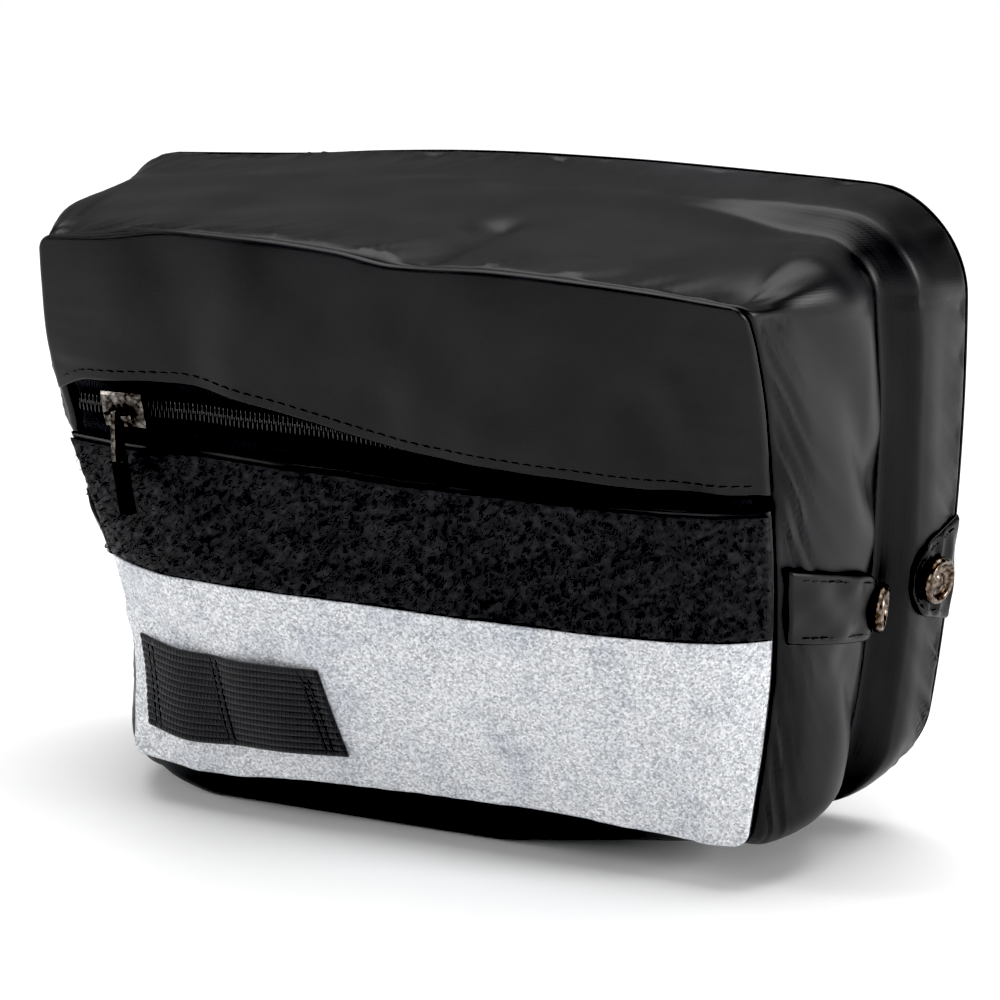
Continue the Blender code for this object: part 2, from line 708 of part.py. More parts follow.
def make_slider():
    """The slider straddles the chain: a plate with a flange above and below, and a bail for the pull."""
    slot = ZIP_CHAIN_WIDTH / 2 + SLIDER_CLEARANCE
    half = slot + SLIDER_WALL
    under_plate = -SLIDER_CLEARANCE
    plate_face = under_plate - SLIDER_WALL
    flange_end = ZIP_CHAIN_THICKNESS / 2
    chamfer = SLIDER_WALL / 2
    upper_half = [(plate_face, half - chamfer), (plate_face + chamfer, half), (flange_end, half)]
    upper_half += [(flange_end, slot), (under_plate, slot)]
    profile = upper_half + [(a, -b) for a, b in reversed(upper_half)]
    end = SLIDER_LENGTH / 2
    work = bmesh.new()
    prism(work, profile, -end, end, lambda a, b, level: Vector((level, a, b)))
    body = keep("zip_slider", work, "dark_metal")
    across = (SLIDER_FROM_LEFT - half_width(0.5, 0)) / half_width(0.5, 0)
    placing = front_placing(across, ZIP_LINE / FRONT_HEIGHT, -(CLOTH + GAP))
    body.matrix_world = placing
    rise = BAIL_CLEARANCE + BAIL_WIRE
    foot = -BAIL_SPAN / 2
    chamfer = BAIL_WIRE / 2
    outer = [(foot, BAIL_FOOT), (foot, -rise + chamfer), (foot + chamfer, -rise)]
    outer += [(-a, b) for a, b in reversed(outer)]
    inner = [(foot + BAIL_WIRE, BAIL_FOOT), (foot + BAIL_WIRE, -rise + BAIL_WIRE)]
    inner += [(-a, b) for a, b in reversed(inner)]
    work = bmesh.new()
    bail_outline = outer + list(reversed(inner))
    half = BAIL_WIRE / 2
    prism(work, bail_outline, -half, half, lambda a, b, level: Vector((a, plate_face + b, level)))
    bail = keep("bail_shape", work, "dark_metal")
    bail.matrix_world = placing
    bail.hide_render = True
    bail.display_type = "WIRE"
    joined = body.modifiers.new("bail", "BOOLEAN")
    joined.operation = "UNION"
    joined.object = bail
    bar = placing @ Vector((0, plate_face - BAIL_CLEARANCE - BAIL_WIRE / 2, 0))
    along = placing.to_3x3() @ Vector((1, 0, 0))
    level = Vector((along.x, along.y, 0)).normalized()
    inward = Vector((0, 0, 1)).cross(level)
    return Matrix.Translation(bar) @ Matrix((level, inward, (0, 0, 1))).transposed().to_4x4()


def make_pull(placing):
    """The pull hangs upright and edge-on from the bail, and a cord loop hangs from the pull."""
    eye_wide = PULL_WIDTH - 2 * PULL_EYE
    eye_tall = BAIL_WIRE + 4 * GAP
    top = BAIL_WIRE / 2 + 2 * GAP + PULL_EYE
    outer = rounded(PULL_WIDTH, PULL_LENGTH, PULL_WIDTH * PULL_ROUND)
    hole = rounded(eye_wide, eye_tall, eye_tall * PULL_ROUND)
    tab_middle = top - PULL_LENGTH / 2
    outline = [(a, b + tab_middle) for a, b in outer]

    def to_point(a, b, level):
        return Vector((level, a, b))

    half = PULL_THICKNESS / 2
    tab = framed("zip_pull_tab", outline, hole, -half, half, to_point, "dark_metal")
    tab.matrix_world = placing
    low_end = top - PULL_LENGTH
    eye_centre = low_end + PULL_EYE + LINK_EYE
    work = bmesh.new()
    turns = [2 * math.pi * i / EYE_SIDES for i in range(EYE_SIDES)]
    bore = [(LINK_EYE * math.cos(turn), eye_centre + LINK_EYE * math.sin(turn)) for turn in turns]
    prism(work, bore, -PULL_THICKNESS, PULL_THICKNESS, to_point)
    cutter = keep("pull_eye_shape", work, "dark_metal")
    cutter.matrix_world = placing
    cutter.hide_render = True
    cutter.display_type = "WIRE"
    bored = tab.modifiers.new("lower_eye", "BOOLEAN")
    bored.operation = "DIFFERENCE"
    bored.object = cutter
    inner_wide = PULL_THICKNESS + 4 * GAP
    loop_top = eye_centre + LINK_CORD / 2
    outer = rounded(inner_wide + 2 * LINK_CORD, LINK_LENGTH, LINK_CORD)
    loop_low = low_end - 2 * GAP
    hole_height = loop_top - LINK_CORD - loop_low
    hole = rounded(inner_wide, hole_height, GAP)
    outline = [(a, b + loop_top - LINK_LENGTH / 2) for a, b in outer]
    opening = [(a, b + loop_low + hole_height / 2) for a, b in hole]
    link = framed("zip_pull_link", outline, opening, -LINK_CORD / 2, LINK_CORD / 2,
                  lambda a, b, level: Vector((a, level, b - eye_centre)), "zip_textile")
    lean = Matrix.Rotation(-LINK_LEAN, 4, "Y")
    link.matrix_world = placing @ Matrix.Translation((0, 0, eye_centre)) @ lean


def tab_grid(tab, side, lift):
    """A tab's face over the gusset, from its sewn end to its round end."""
    rows = []
    for k in range(TAB_LEVELS + 1):
        level = 2 * k / TAB_LEVELS - 1
        line = []
        for j in range(TAB_CELLS + 1):
            share = math.sin(math.pi / 2 * j / TAB_CELLS)
            round_share = max(0.0, (share - (1 - TAB_END_ROUND)) / TAB_END_ROUND)
            narrow = math.sqrt(1 - (TAB_TIP * round_share) ** 2)
            tall = lerp(tab.start_height, tab.end_height, share) * narrow
            middle = lerp(tab.start_centre, tab.end_centre, share)
            height = (middle + level * tall / 2) / FRONT_HEIGHT
            spot, out = side_frame(side, height, lerp(tab.start, tab.end, share))
            line.append(spot + out * lift)
        rows.append(line)
    return rows


def make_tabs():
    for side, side_name in ((1, "right"), (-1, "left")):
        for tab in TABS:
            outer, inner = tab_grid(tab, side, GAP + TAB_THICKNESS), tab_grid(tab, side, GAP)
            skin(f"{tab.name}_tab_{side_name}", outer, inner, "coated_cloth")
            share = (tab.snap_depth - tab.start) / (tab.end - tab.start)
            height = lerp(tab.start_centre, tab.end_centre, share) / FRONT_HEIGHT
            spot, out = side_frame(side, height, tab.snap_depth)
            make_snap(f"{tab.name}_snap_{side_name}", spot + out * (2 * GAP + TAB_THICKNESS), out)


def make_snap(name, spot, out):
    """A turned snap cap: a flat foot, a rolled rim and a dished middle with a small boss."""
    turns = [2 * math.pi * i / TURNED_SIDES for i in range(TURNED_SIDES)]
    work = bmesh.new()
    rings = []
    for row in SNAP_ROWS:
        out_by, up = row.out * SNAP_DIAMETER / 2, row.rise * SNAP_RISE
        around = turns if out_by else [0]
        rings.append([work.verts.new((out_by * math.cos(a), out_by * math.sin(a), up)) for a in around])
    for low, high in zip(rings, rings[1:]):
        for i in range(TURNED_SIDES):
            j = (i + 1) % TURNED_SIDES
            corners = [low[i % len(low)], low[j % len(low)], high[j % len(high)], high[i % len(high)]]
            work.faces.new(list(dict.fromkeys(corners)))
    cap = keep(name, work, "dark_metal")
    cap.location = spot
    cap.rotation_mode = "QUATERNION"
    cap.rotation_quaternion = Vector((0, 0, 1)).rotation_difference(out)


def make_belt_tunnel():
    """A plain sleeve of webbing on the back, open at both ends, sewn above and below the belt."""
    face = back_y(0, 0.5) + CLOTH + GAP
    flat = TUNNEL_BELT / 2
    clear = flat + TUNNEL_ROUND
    edge = clear + TUNNEL_HEM
    inner = [(-edge, 0), (-clear, 0), (-flat, TUNNEL_CLEAR)]
    inner += [(-rise, out) for rise, out in reversed(inner)]
    corner = CLOTH / 2
    outer = [(-edge, CLOTH), (-clear - corner, CLOTH), (-flat - corner, TUNNEL_CLEAR + CLOTH)]
    outer += [(-rise, out) for rise, out in reversed(outer)]
    work = bmesh.new()
    outline = inner + list(reversed(outer))
    end = TUNNEL_WIDTH / 2
    prism(work, outline, -end, end,
          lambda rise, out, level: Vector((level, face + out, TUNNEL_CENTRE + rise)))
    keep("belt_tunnel", work, "ribbed_webbing")


for old in list(bpy.data.objects):
    bpy.data.objects.remove(old, do_unlink=True)
make_body()
make_front()
make_keeper()
make_zip()
make_pull(make_slider())
make_tabs()
make_belt_tunnel()
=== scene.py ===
import math
from collections import namedtuple

import bmesh
import bpy
import numpy as np
from mathutils import Matrix, Vector


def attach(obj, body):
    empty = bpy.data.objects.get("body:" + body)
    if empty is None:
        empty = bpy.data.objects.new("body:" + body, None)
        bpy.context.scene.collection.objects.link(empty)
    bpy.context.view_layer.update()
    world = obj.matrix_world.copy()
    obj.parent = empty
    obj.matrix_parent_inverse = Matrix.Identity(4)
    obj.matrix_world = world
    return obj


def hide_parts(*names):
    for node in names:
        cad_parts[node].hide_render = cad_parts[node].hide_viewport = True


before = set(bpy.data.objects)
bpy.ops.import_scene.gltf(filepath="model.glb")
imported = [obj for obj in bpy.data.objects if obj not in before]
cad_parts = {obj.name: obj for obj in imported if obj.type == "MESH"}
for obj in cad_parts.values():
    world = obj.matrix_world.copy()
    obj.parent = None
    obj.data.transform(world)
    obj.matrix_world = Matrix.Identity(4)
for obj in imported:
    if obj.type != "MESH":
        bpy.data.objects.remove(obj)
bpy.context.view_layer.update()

# The gusset is one long band of PVC-coated tarpaulin that makes the top, both sides and the base. It is
# sewn inside out to the front and back panels and then turned, so its edges roll inwards at both seams.
# A bellows fold runs down each side in front of the stiffer rear slab.
FRONT_TOP_WIDTH, FRONT_BASE_WIDTH = 0.204, 0.187
BACK_TOP_WIDTH, BACK_BASE_WIDTH = 0.250, 0.231
TOP_DEPTH, BASE_DEPTH, FRONT_HEIGHT = 0.105, 0.072, 0.157
BASE_SAG, TOP_CROWN, FRONT_DOME, BACK_DOME = 0.014, 0.0125, 0.006, 0.003
EDGE_BOW, EDGE_FALL, BACK_BOW, SIDE_SWELL = 0.0036, 0.012, 0.006, 0.005
GROOVE_DEPTH, RIDGE_RISE = 0.006, 0.002
GROOVE_REACH_RIGHT, GROOVE_REACH_LEFT, LEFT_GROOVE_TOP = 0.3, 0.85, 0.7
BELLY_START, BACK_PLANE = 0.14, 0.0525
FRONT_CORNER = 0.004
BACK_CORNERS = (0.024, 0.010, 0.018, 0.021)
CLOTH, SEAM_GAP, GAP = 0.0016, 0.0006, 0.0003
SEAM_ROLL = 0.0016
BOW_POWER, EDGE_POWER, SAG_POWER, CROWN_POWER, DOME_POWER, FALL_POWER, REACH_POWER = 0.6, 3, 3, 3, 0.8, 6, 1.5
RIPPLE_RISE, RIPPLE_LENGTH = 0.00030, 0.045
PUCKER_RISE, PUCKER_LENGTH, PUCKER_REACH, PUCKER_START = 0.0007, 0.007, 0.010, 0.002
GUSSET_AROUND, GUSSET_DEEP, CORNER_STEPS = (92, 62, 84, 62), 120, 14
TARPAULIN_BLACK, TARPAULIN_RUBBED = "0a0a0b", "17171a"
SCRIM_PITCH_MM, GRAIN_MM = 0.9, 0.28
# Texture space in millimetres, and a wave texture's scale for one band in each of its units.
IN_MM, ONE_BAND = (1000, 1000, 1000), math.pi / 10

SeamRow = namedtuple("SeamRow", "height left_out left_back right_out right_back")
FRONT_SEAMS = [
    SeamRow(0.00, 0.0, 0.0, 0.0, 0.0),
    SeamRow(0.08, 0.0, 0.4, 0.2, 0.3),
    SeamRow(0.20, 0.0, 0.9, 0.4, 0.8),
    SeamRow(0.32, 0.1, 0.9, 0.7, 1.0),
    SeamRow(0.50, 0.3, 0.4, 1.0, 0.9),
    SeamRow(0.65, 0.7, 0.1, 1.0, 0.7),
    SeamRow(0.80, 1.0, 0.0, 0.9, 0.5),
    SeamRow(0.92, 0.5, 0.0, 0.6, 0.2),
    SeamRow(1.00, 0.0, 0.0, 0.0, 0.0),
]
BaseRow = namedtuple("BaseRow", "across line belly")
BASE_LINES = [
    BaseRow(-1.00, 1.00, 0.74),
    BaseRow(-0.88, 0.89, 0.20),
    BaseRow(-0.76, 0.80, 0.00),
    BaseRow(-0.40, 0.96, 0.00),
    BaseRow(0.00, 1.07, 0.00),
    BaseRow(0.14, 1.10, 0.00),
    BaseRow(0.30, 1.11, 0.14),
    BaseRow(0.52, 1.08, 0.38),
    BaseRow(0.74, 1.01, 0.60),
    BaseRow(0.90, 0.96, 0.76),
    BaseRow(1.00, 1.00, 0.92),
]
TopRow = namedtuple("TopRow", "across front back")
TOP_LINES = [
    TopRow(-1.00, 0.00, 0.10),
    TopRow(-0.84, 0.12, 0.22),
    TopRow(-0.56, 0.42, 0.45),
    TopRow(-0.38, 0.42, 0.66),
    TopRow(-0.13, 0.33, 0.87),
    TopRow(0.05, 0.15, 0.95),
    TopRow(0.33, 0.25, 1.00),
    TopRow(0.68, 0.18, 0.98),
    TopRow(1.00, 0.00, 0.90),
]
GussetRow = namedtuple("GussetRow", "depth swell groove ridge")
GUSSET_ROWS = [
    GussetRow(0.00, 0.0, 0.0, 0.0),
    GussetRow(0.05, 0.4, 0.0, 0.0),
    GussetRow(0.14, 0.8, 0.0, 0.0),
    GussetRow(0.28, 1.0, 0.0, 0.0),
    GussetRow(0.42, 0.8, 0.1, 0.0),
    GussetRow(0.53, 0.4, 0.4, 0.0),
    GussetRow(0.61, 0.1, 0.8, 0.0),
    GussetRow(0.66, 0.0, 1.0, 0.0),
    GussetRow(0.70, 0.0, 0.5, 0.2),
    GussetRow(0.74, 0.0, 0.0, 0.8),
    GussetRow(0.79, 0.0, 0.0, 1.0),
    GussetRow(0.87, 0.0, 0.0, 0.7),
    GussetRow(0.95, 0.0, 0.0, 0.3),
    GussetRow(1.00, 0.0, 0.0, 0.0),
]
# Soft folds pressed into the gusset: a line from one (depth, height) to another on one side, with its reach
# and rise in metres. Side 1 is the right, -1 the left and 0 the top, where height is read as across.
SideFold = namedtuple("SideFold", "side from_depth from_height to_depth to_height reach rise")
SIDE_FOLDS = [
    SideFold(1, 0.10, 0.99, 0.46, 0.62, 0.010, -0.0020),
    SideFold(1, 0.34, 0.98, 0.52, 0.70, 0.009, 0.0016),
    SideFold(1, 0.06, 0.66, 0.44, 0.52, 0.011, 0.0018),
    SideFold(1, 0.10, 0.56, 0.50, 0.40, 0.009, -0.0014),
    SideFold(1, 0.10, 0.30, 0.42, 0.16, 0.012, 0.0016),
    SideFold(1, 0.30, 0.30, 0.60, 0.08, 0.008, -0.0016),
    SideFold(-1, 0.08, 0.96, 0.50, 0.60, 0.012, -0.0018),
    SideFold(-1, 0.10, 0.50, 0.48, 0.36, 0.010, 0.0018),
    SideFold(-1, 0.12, 0.28, 0.52, 0.14, 0.010, -0.0014),
    SideFold(0, 0.00, 0.10, 0.36, 0.16, 0.006, -0.0018),
    SideFold(0, 0.00, -0.02, 0.30, 0.05, 0.007, 0.0014),
    SideFold(0, 0.06, -0.62, 0.50, -0.50, 0.012, -0.0012),
    SideFold(0, 0.10, 0.62, 0.60, 0.74, 0.010, -0.0012),
]


def read_table(table, key, column, at):
    """A table's column at the places in an array, with level ends at peaks (monotone cubic)."""
    keys = np.array([getattr(row, key) for row in table])
    values = np.array([getattr(row, column) for row in table])
    runs = np.diff(keys)
    steps = np.diff(values) / runs
    slopes = np.zeros(len(keys))
    slopes[0], slopes[-1] = steps[0], steps[-1]
    rising = steps[:-1] * steps[1:] > 0
    total = np.where(rising, steps[:-1] + steps[1:], 1.0)
    slopes[1:-1] = np.where(rising, 2 * steps[:-1] * steps[1:] / total, 0.0)
    at = np.clip(at, keys[0], keys[-1])
    i = np.clip(np.searchsorted(keys, at, side="right") - 1, 0, len(runs) - 1)
    u = (at - keys[i]) / runs[i]
    level = values[i] * (1 + 2 * u) * (1 - u) ** 2 + values[i + 1] * u * u * (3 - 2 * u)
    return level + runs[i] * (slopes[i] * u * (1 - u) ** 2 + slopes[i + 1] * u * u * (u - 1))


def lerp(low, high, share):
    return low + (high - low) * share


def smooth(share):
    share = np.clip(share, 0, 1)
    return share * share * (3 - 2 * share)


def crowded(share, part):
    """Shares from 0 to 1, crowded towards both ends."""
    return (1 - part) * share + part * (0.5 - 0.5 * np.cos(math.pi * share))


def edge_roll(from_edge, radius):
    """How far a turned edge falls back, at a distance inside the edge."""
    return radius - np.sqrt(np.clip(radius**2 - np.clip(radius - from_edge, 0, None) ** 2, 0, None))


def half_width(height, depth):
    front = lerp(FRONT_BASE_WIDTH, FRONT_TOP_WIDTH, height)
    return lerp(front, lerp(BACK_BASE_WIDTH, BACK_TOP_WIDTH, height), depth) / 2


def arc(height):
    return np.sin(math.pi * np.clip(height, 0, 1))


def place_x(across, height, depth):
    left = read_table(FRONT_SEAMS, "height", "left_out", height)
    right = read_table(FRONT_SEAMS, "height", "right_out", height)
    bow = EDGE_BOW * np.where(across > 0, right, left) * (1 - depth)
    bow = bow + BACK_BOW * arc(height) ** BOW_POWER * depth
    return across * half_width(height, depth) + np.sign(across) * bow * abs(across) ** EDGE_POWER


def place_z(across, height, depth):
    line = read_table(BASE_LINES, "across", "line", across)
    belly = read_table(BASE_LINES, "across", "belly", across)
    low = BASE_SAG * lerp(line, belly, smooth(depth / BELLY_START))
    front = read_table(TOP_LINES, "across", "front", across)
    crown = TOP_CROWN * lerp(front, read_table(TOP_LINES, "across", "back", across), depth)
    sag = (low - BASE_SAG) * (1 - height) ** SAG_POWER
    return BASE_SAG + FRONT_HEIGHT * height + sag + crown * height**CROWN_POWER


def near_line(a, b, from_a, from_b, to_a, to_b):
    """How far points (a, b) lie from the line between two points, all in metres."""
    run_a, run_b = to_a - from_a, to_b - from_b
    along = np.clip(((a - from_a) * run_a + (b - from_b) * run_b) / (run_a**2 + run_b**2), 0, 1)
    return np.hypot(a - from_a - along * run_a, b - from_b - along * run_b)


def ripple(a, b, length, seed, waves=14):
    """A smooth random surface about 1 high, whose waves are about this long, over a plane in metres."""
    draw = np.random.default_rng(seed)
    total = np.zeros(np.broadcast(a, b).shape)
    for _ in range(waves):
        angle, phase = draw.uniform(0, 2 * math.pi, 2)
        turn = 2 * math.pi / (length * draw.uniform(0.6, 1.8))
        total += np.sin((a * math.cos(angle) + b * math.sin(angle)) * turn + phase)
    return total / math.sqrt(waves / 2)


def front_y(across, height):
    """The front leans out at its top, domes in the middle and falls back at its side seams."""
    left = read_table(FRONT_SEAMS, "height", "left_back", height)
    right = read_table(FRONT_SEAMS, "height", "right_back", height)
    dome = FRONT_DOME * (1 - abs(across) ** EDGE_POWER) * arc(height) ** DOME_POWER
    fall = EDGE_FALL * np.where(across > 0, right, left) * abs(across) ** FALL_POWER
    return BACK_PLANE - lerp(BASE_DEPTH, TOP_DEPTH, height) - dome + fall


def back_y(across, height):
    return BACK_PLANE + BACK_DOME * (1 - across * across) * arc(height)


def outline(depth):
    """The gusset's outline at one depth: arrays of across, height and turn, which is the outward angle."""
    wide, tall = half_width(0.5, depth), FRONT_HEIGHT / 2
    radii = [lerp(FRONT_CORNER, back, depth) for back in BACK_CORNERS]
    signs = [(1, 1), (-1, 1), (-1, -1), (1, -1)]
    corners = []
    for i, (sign_a, sign_b) in enumerate(signs):
        turn = math.pi / 2 * (i + np.linspace(0, 1, CORNER_STEPS + 1))
        across = sign_a * (1 - radii[i] / wide) + radii[i] / wide * np.cos(turn)
        level = sign_b * (1 - radii[i] / tall) + radii[i] / tall * np.sin(turn)
        corners.append(np.stack((across, (level + 1) / 2, turn)))
    parts = []
    for i, corner in enumerate(corners):
        after = corners[(i + 1) % 4][:, :1].copy()
        after[2] = corner[2, -1]
        share = np.linspace(0, 1, GUSSET_AROUND[i] + 1)[1:-1]
        parts += [corner, corner[:, -1:] + (after - corner[:, -1:]) * share]
    return np.concatenate(parts, axis=1)


def gusset_skin(across, height, turn, depth):
    """The gusset's outer face between its seams, before its folds and rolled edges."""
    swell, groove, ridge = (read_table(GUSSET_ROWS, "depth", name, depth)
                            for name in ("swell", "groove", "ridge"))
    start = np.where(across > 0, GROOVE_REACH_RIGHT, GROOVE_REACH_LEFT)
    reach = np.clip((abs(across) - start) / (1 - start), 0, None) ** REACH_POWER
    fade = 1 - smooth((height - LEFT_GROOVE_TOP) / (1 - LEFT_GROOVE_TOP))
    reach = np.where(across < 0, reach * fade, reach)
    out = SIDE_SWELL * swell * abs(np.cos(turn)) + (RIDGE_RISE * ridge - GROOVE_DEPTH * groove) * reach
    y = lerp(front_y(across, height) + CLOTH + SEAM_GAP, back_y(across, height) - SEAM_GAP, depth)
    x = place_x(across, height, depth) + np.cos(turn) * out
    z = place_z(across, height, depth) + np.sin(turn) * out
    return np.stack((x, y, z), axis=-1)


def normals(grid, ring=False):
    """Unit normals of a grid of points; ring joins each row's ends."""
    if ring:
        around = np.roll(grid, -1, axis=1) - np.roll(grid, 1, axis=1)
    else:
        around = np.gradient(grid, axis=1)
    found = np.cross(around, np.gradient(grid, axis=0))
    return found / np.maximum(np.linalg.norm(found, axis=2, keepdims=True), 1e-12)


def place_mesh(name, mesh):
    """A smooth-shaded object of a mesh, in the scene."""
    mesh.shade_smooth()
    piece = bpy.data.objects.new(name, mesh)
    bpy.context.collection.objects.link(piece)
    return piece


def sheet_mesh(name, outer, inner, plane, ring=False):
    """A closed sheet between two grids of points. plane is each point's place on the flat cloth."""
    rows, columns = outer.shape[:2]
    spans = columns if ring else columns - 1
    count = rows * columns
    i, j = np.meshgrid(np.arange(rows - 1), np.arange(spans), indexing="ij")
    k = (j + 1) % columns
    quads = np.stack((i * columns + j, i * columns + k, (i + 1) * columns + k, (i + 1) * columns + j), axis=-1)
    quads = quads.reshape(-1, 4)
    faces = [quads, quads[:, ::-1] + count]
    j = np.arange(spans)
    k = (j + 1) % columns
    low = np.stack((k, j, j + count, k + count), axis=-1)
    faces += [low, low[:, ::-1] + (rows - 1) * columns]
    if not ring:
        i = np.arange(rows - 1) * columns
        side = np.stack((i, i + columns, i + columns + count, i + count), axis=-1)
        faces += [side, side[:, ::-1] + columns - 1]
    faces = np.concatenate(faces)
    points = np.concatenate((outer.reshape(-1, 3), inner.reshape(-1, 3)))
    mesh = bpy.data.meshes.new(name)
    mesh.from_pydata(points.tolist(), [], faces.tolist())
    work = bmesh.new()
    work.from_mesh(mesh)
    bmesh.ops.recalc_face_normals(work, faces=work.faces)
    if work.calc_volume(signed=True) < 0:
        bmesh.ops.reverse_faces(work, faces=work.faces)
    work.to_mesh(mesh)
    work.free()
    flat = np.concatenate((plane.reshape(-1, 2), plane.reshape(-1, 2)))
    corner = np.zeros(len(mesh.loops), dtype=np.int32)
    mesh.loops.foreach_get("vertex_index", corner)
    mesh.uv_layers.new(name="flat_cloth").data.foreach_set("uv", flat[corner].astype(np.float32).ravel())
    return place_mesh(name, mesh)


def colour(hex_value):
    """An sRGB hex colour as linear red, green, blue and alpha."""
    shares = [int(hex_value[i:i + 2], 16) / 255 for i in (0, 2, 4)]
    return tuple(s / 12.92 if s <= 0.04045 else ((s + 0.055) / 1.055) ** 2.4 for s in shares) + (1.0,)


def add_node(material, kind, links=(), ramp=(), **settings):
    """Adds a shader node. settings are its properties, or its inputs by name with _ for spaces. links are
    (input, node, output), and ramp is a colour ramp's stops, its first and last before those between."""
    node = material.node_tree.nodes.new(kind)
    for name, value in settings.items():
        if hasattr(node, name):
            setattr(node, name, value)
        else:
            node.inputs[name.replace("_", " ")].default_value = value
    for into, other, output in links:
        material.node_tree.links.new(other.outputs[output], node.inputs[into])
    for number, (position, hex_value) in enumerate(ramp):
        stop = node.color_ramp.elements[number] if number < 2 else node.color_ramp.elements.new(position)
        stop.position, stop.color = position, colour(hex_value)
    return node


def new_material(name, **settings):
    """A material whose Principled shader has these inputs, and that shader."""
    material = bpy.data.materials.new(name)
    material.use_nodes = True
    shader = material.node_tree.nodes["Principled BSDF"]
    for key, value in settings.items():
        shader.inputs[key.replace("_", " ")].default_value = value
    return material, shader


def wire(material, node, output, into, name):
    """Links a node's output to another node's input."""
    material.node_tree.links.new(node.outputs[output], into.inputs[name])


# PVC tarpaulin, knife-coated on a polyester scrim: a soft broad sheen on a fine leathery grain, with the
# scrim's threads just showing through and lighter rubbed patches.
def tarpaulin():
    material, shader = new_material("pvc_coated_tarpaulin", Roughness=0.42, IOR=1.5, Specular_IOR_Level=0.34)
    place = add_node(material, "ShaderNodeTexCoord")
    flat = add_node(material, "ShaderNodeMapping", [("Vector", place, "UV")], Scale=IN_MM)
    solid = add_node(material, "ShaderNodeMapping", [("Vector", place, "Object")], Scale=IN_MM)
    scrim = []
    for direction in ("X", "Y"):
        scrim.append(add_node(material, "ShaderNodeTexWave", [("Vector", flat, "Vector")], wave_type="BANDS",
                              bands_direction=direction, Scale=ONE_BAND / SCRIM_PITCH_MM, Distortion=0.6))
    weave = add_node(material, "ShaderNodeMath", [(0, scrim[0], "Fac"), (1, scrim[1], "Fac")],
                     operation="MULTIPLY")
    grain = add_node(material, "ShaderNodeTexNoise", [("Vector", solid, "Vector")], Scale=1 / GRAIN_MM,
                     Detail=3.0)
    rub = add_node(material, "ShaderNodeTexNoise", [("Vector", solid, "Vector")], Scale=0.035, Detail=5.0)
    shade = add_node(material, "ShaderNodeValToRGB", [("Fac", rub, "Fac")],
                     [(0.42, TARPAULIN_BLACK), (0.78, TARPAULIN_RUBBED)])
    wire(material, shade, "Color", shader, "Base Color")
    gloss = add_node(material, "ShaderNodeMapRange", [("Value", rub, "Fac")], To_Min=0.34, To_Max=0.46)
    wire(material, gloss, "Result", shader, "Roughness")
    fine = add_node(material, "ShaderNodeBump", [("Height", grain, "Fac")], Strength=0.16, Distance=0.00008)
    threads = add_node(material, "ShaderNodeBump", [("Height", weave, "Value"), ("Normal", fine, "Normal")],
                       Strength=0.22, Distance=0.00006)
    wire(material, threads, "Normal", shader, "Normal")
    return material


tarpaulin_black = tarpaulin()


def girth_of(points):
    """How far round the gusset each point of its rows lies."""
    return np.cumsum(np.linalg.norm(np.diff(points, axis=1, prepend=points[:, :1]), axis=2), axis=1)


def gusset_folds(points, across, height, depth, out):
    """Moves the gusset's points along their outward directions by its soft folds, puckers and ripples."""
    rise = np.zeros(depth.shape)
    metres = depth * TOP_DEPTH
    for fold in SIDE_FOLDS:
        if fold.side:
            along, scale, on_face = height, FRONT_HEIGHT, smooth((across * fold.side - 0.86) / 0.1)
        else:
            along, scale, on_face = across, BACK_TOP_WIDTH / 2, smooth((height - 0.9) / 0.08)
        away = near_line(metres, along * scale, fold.from_depth * TOP_DEPTH, fold.from_height * scale,
                         fold.to_depth * TOP_DEPTH, fold.to_height * scale)
        rise += fold.rise * np.exp(-((away / fold.reach) ** 2)) * on_face
    girth = girth_of(points)
    base = smooth((0.06 - height) / 0.06)
    rise += RIPPLE_RISE * ripple(girth, metres, RIPPLE_LENGTH, 3)
    from_seam = np.minimum(metres, TOP_DEPTH - metres)
    pucker = np.exp(-from_seam / PUCKER_REACH) * (1 - np.exp(-from_seam / PUCKER_START))
    rise += PUCKER_RISE * pucker * ripple(girth, metres * 0.15, PUCKER_LENGTH, 9)
    rise *= smooth(from_seam / 0.004) * (1 - 0.9 * base)
    return points + out * rise[..., None]


depth_rows = crowded(np.linspace(0, 1, GUSSET_DEEP + 1), 0.25)
shares = [outline(depth) for depth in depth_rows]
around = np.array([share[0] for share in shares])
level = np.array([share[1] for share in shares])
turned = np.array([share[2] for share in shares])
deep = np.repeat(depth_rows[:, None], around.shape[1], axis=1)
gusset_grid = gusset_skin(around, level, turned, deep)
outward = normals(gusset_grid, ring=True)
from_middle = np.stack((np.cos(turned), 0 * turned, np.sin(turned)), axis=-1)
outward *= np.sign(np.sum(outward * from_middle, axis=2))[..., None]
gusset_grid = gusset_folds(gusset_grid, around, level, deep, outward)
rolled = edge_roll(np.minimum(deep, 1 - deep) * TOP_DEPTH, SEAM_ROLL)
gusset_grid = gusset_grid - outward * 0.7 * rolled[..., None]
inward = gusset_grid - outward * CLOTH
inward[0, :, 1], inward[-1, :, 1] = gusset_grid[0, :, 1], gusset_grid[-1, :, 1]
flat = np.stack((girth_of(gusset_grid), deep * TOP_DEPTH), axis=-1)
gusset = sheet_mesh("gusset_cloth", gusset_grid, inward, flat, ring=True)
gusset.data.materials.append(tarpaulin_black)
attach(gusset, "root")
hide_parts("gusset")

# The back panel is a flat panel of the same tarpaulin that lies against the wearer, hidden in the
# photograph. It is cut to the slab's outline and sewn to the gusset's back edge with a turned seam.
BACK_ROWS, PANEL_COLUMNS = 90, 150
PANEL_ROLL, BACK_RIPPLE_RISE, BACK_RIPPLE_LENGTH = 0.0013, 0.0004, 0.040


def panel_shares(columns):
    share = np.linspace(-1, 1, columns + 1)
    return 0.4 * share + 0.6 * np.sin(share * math.pi / 2)


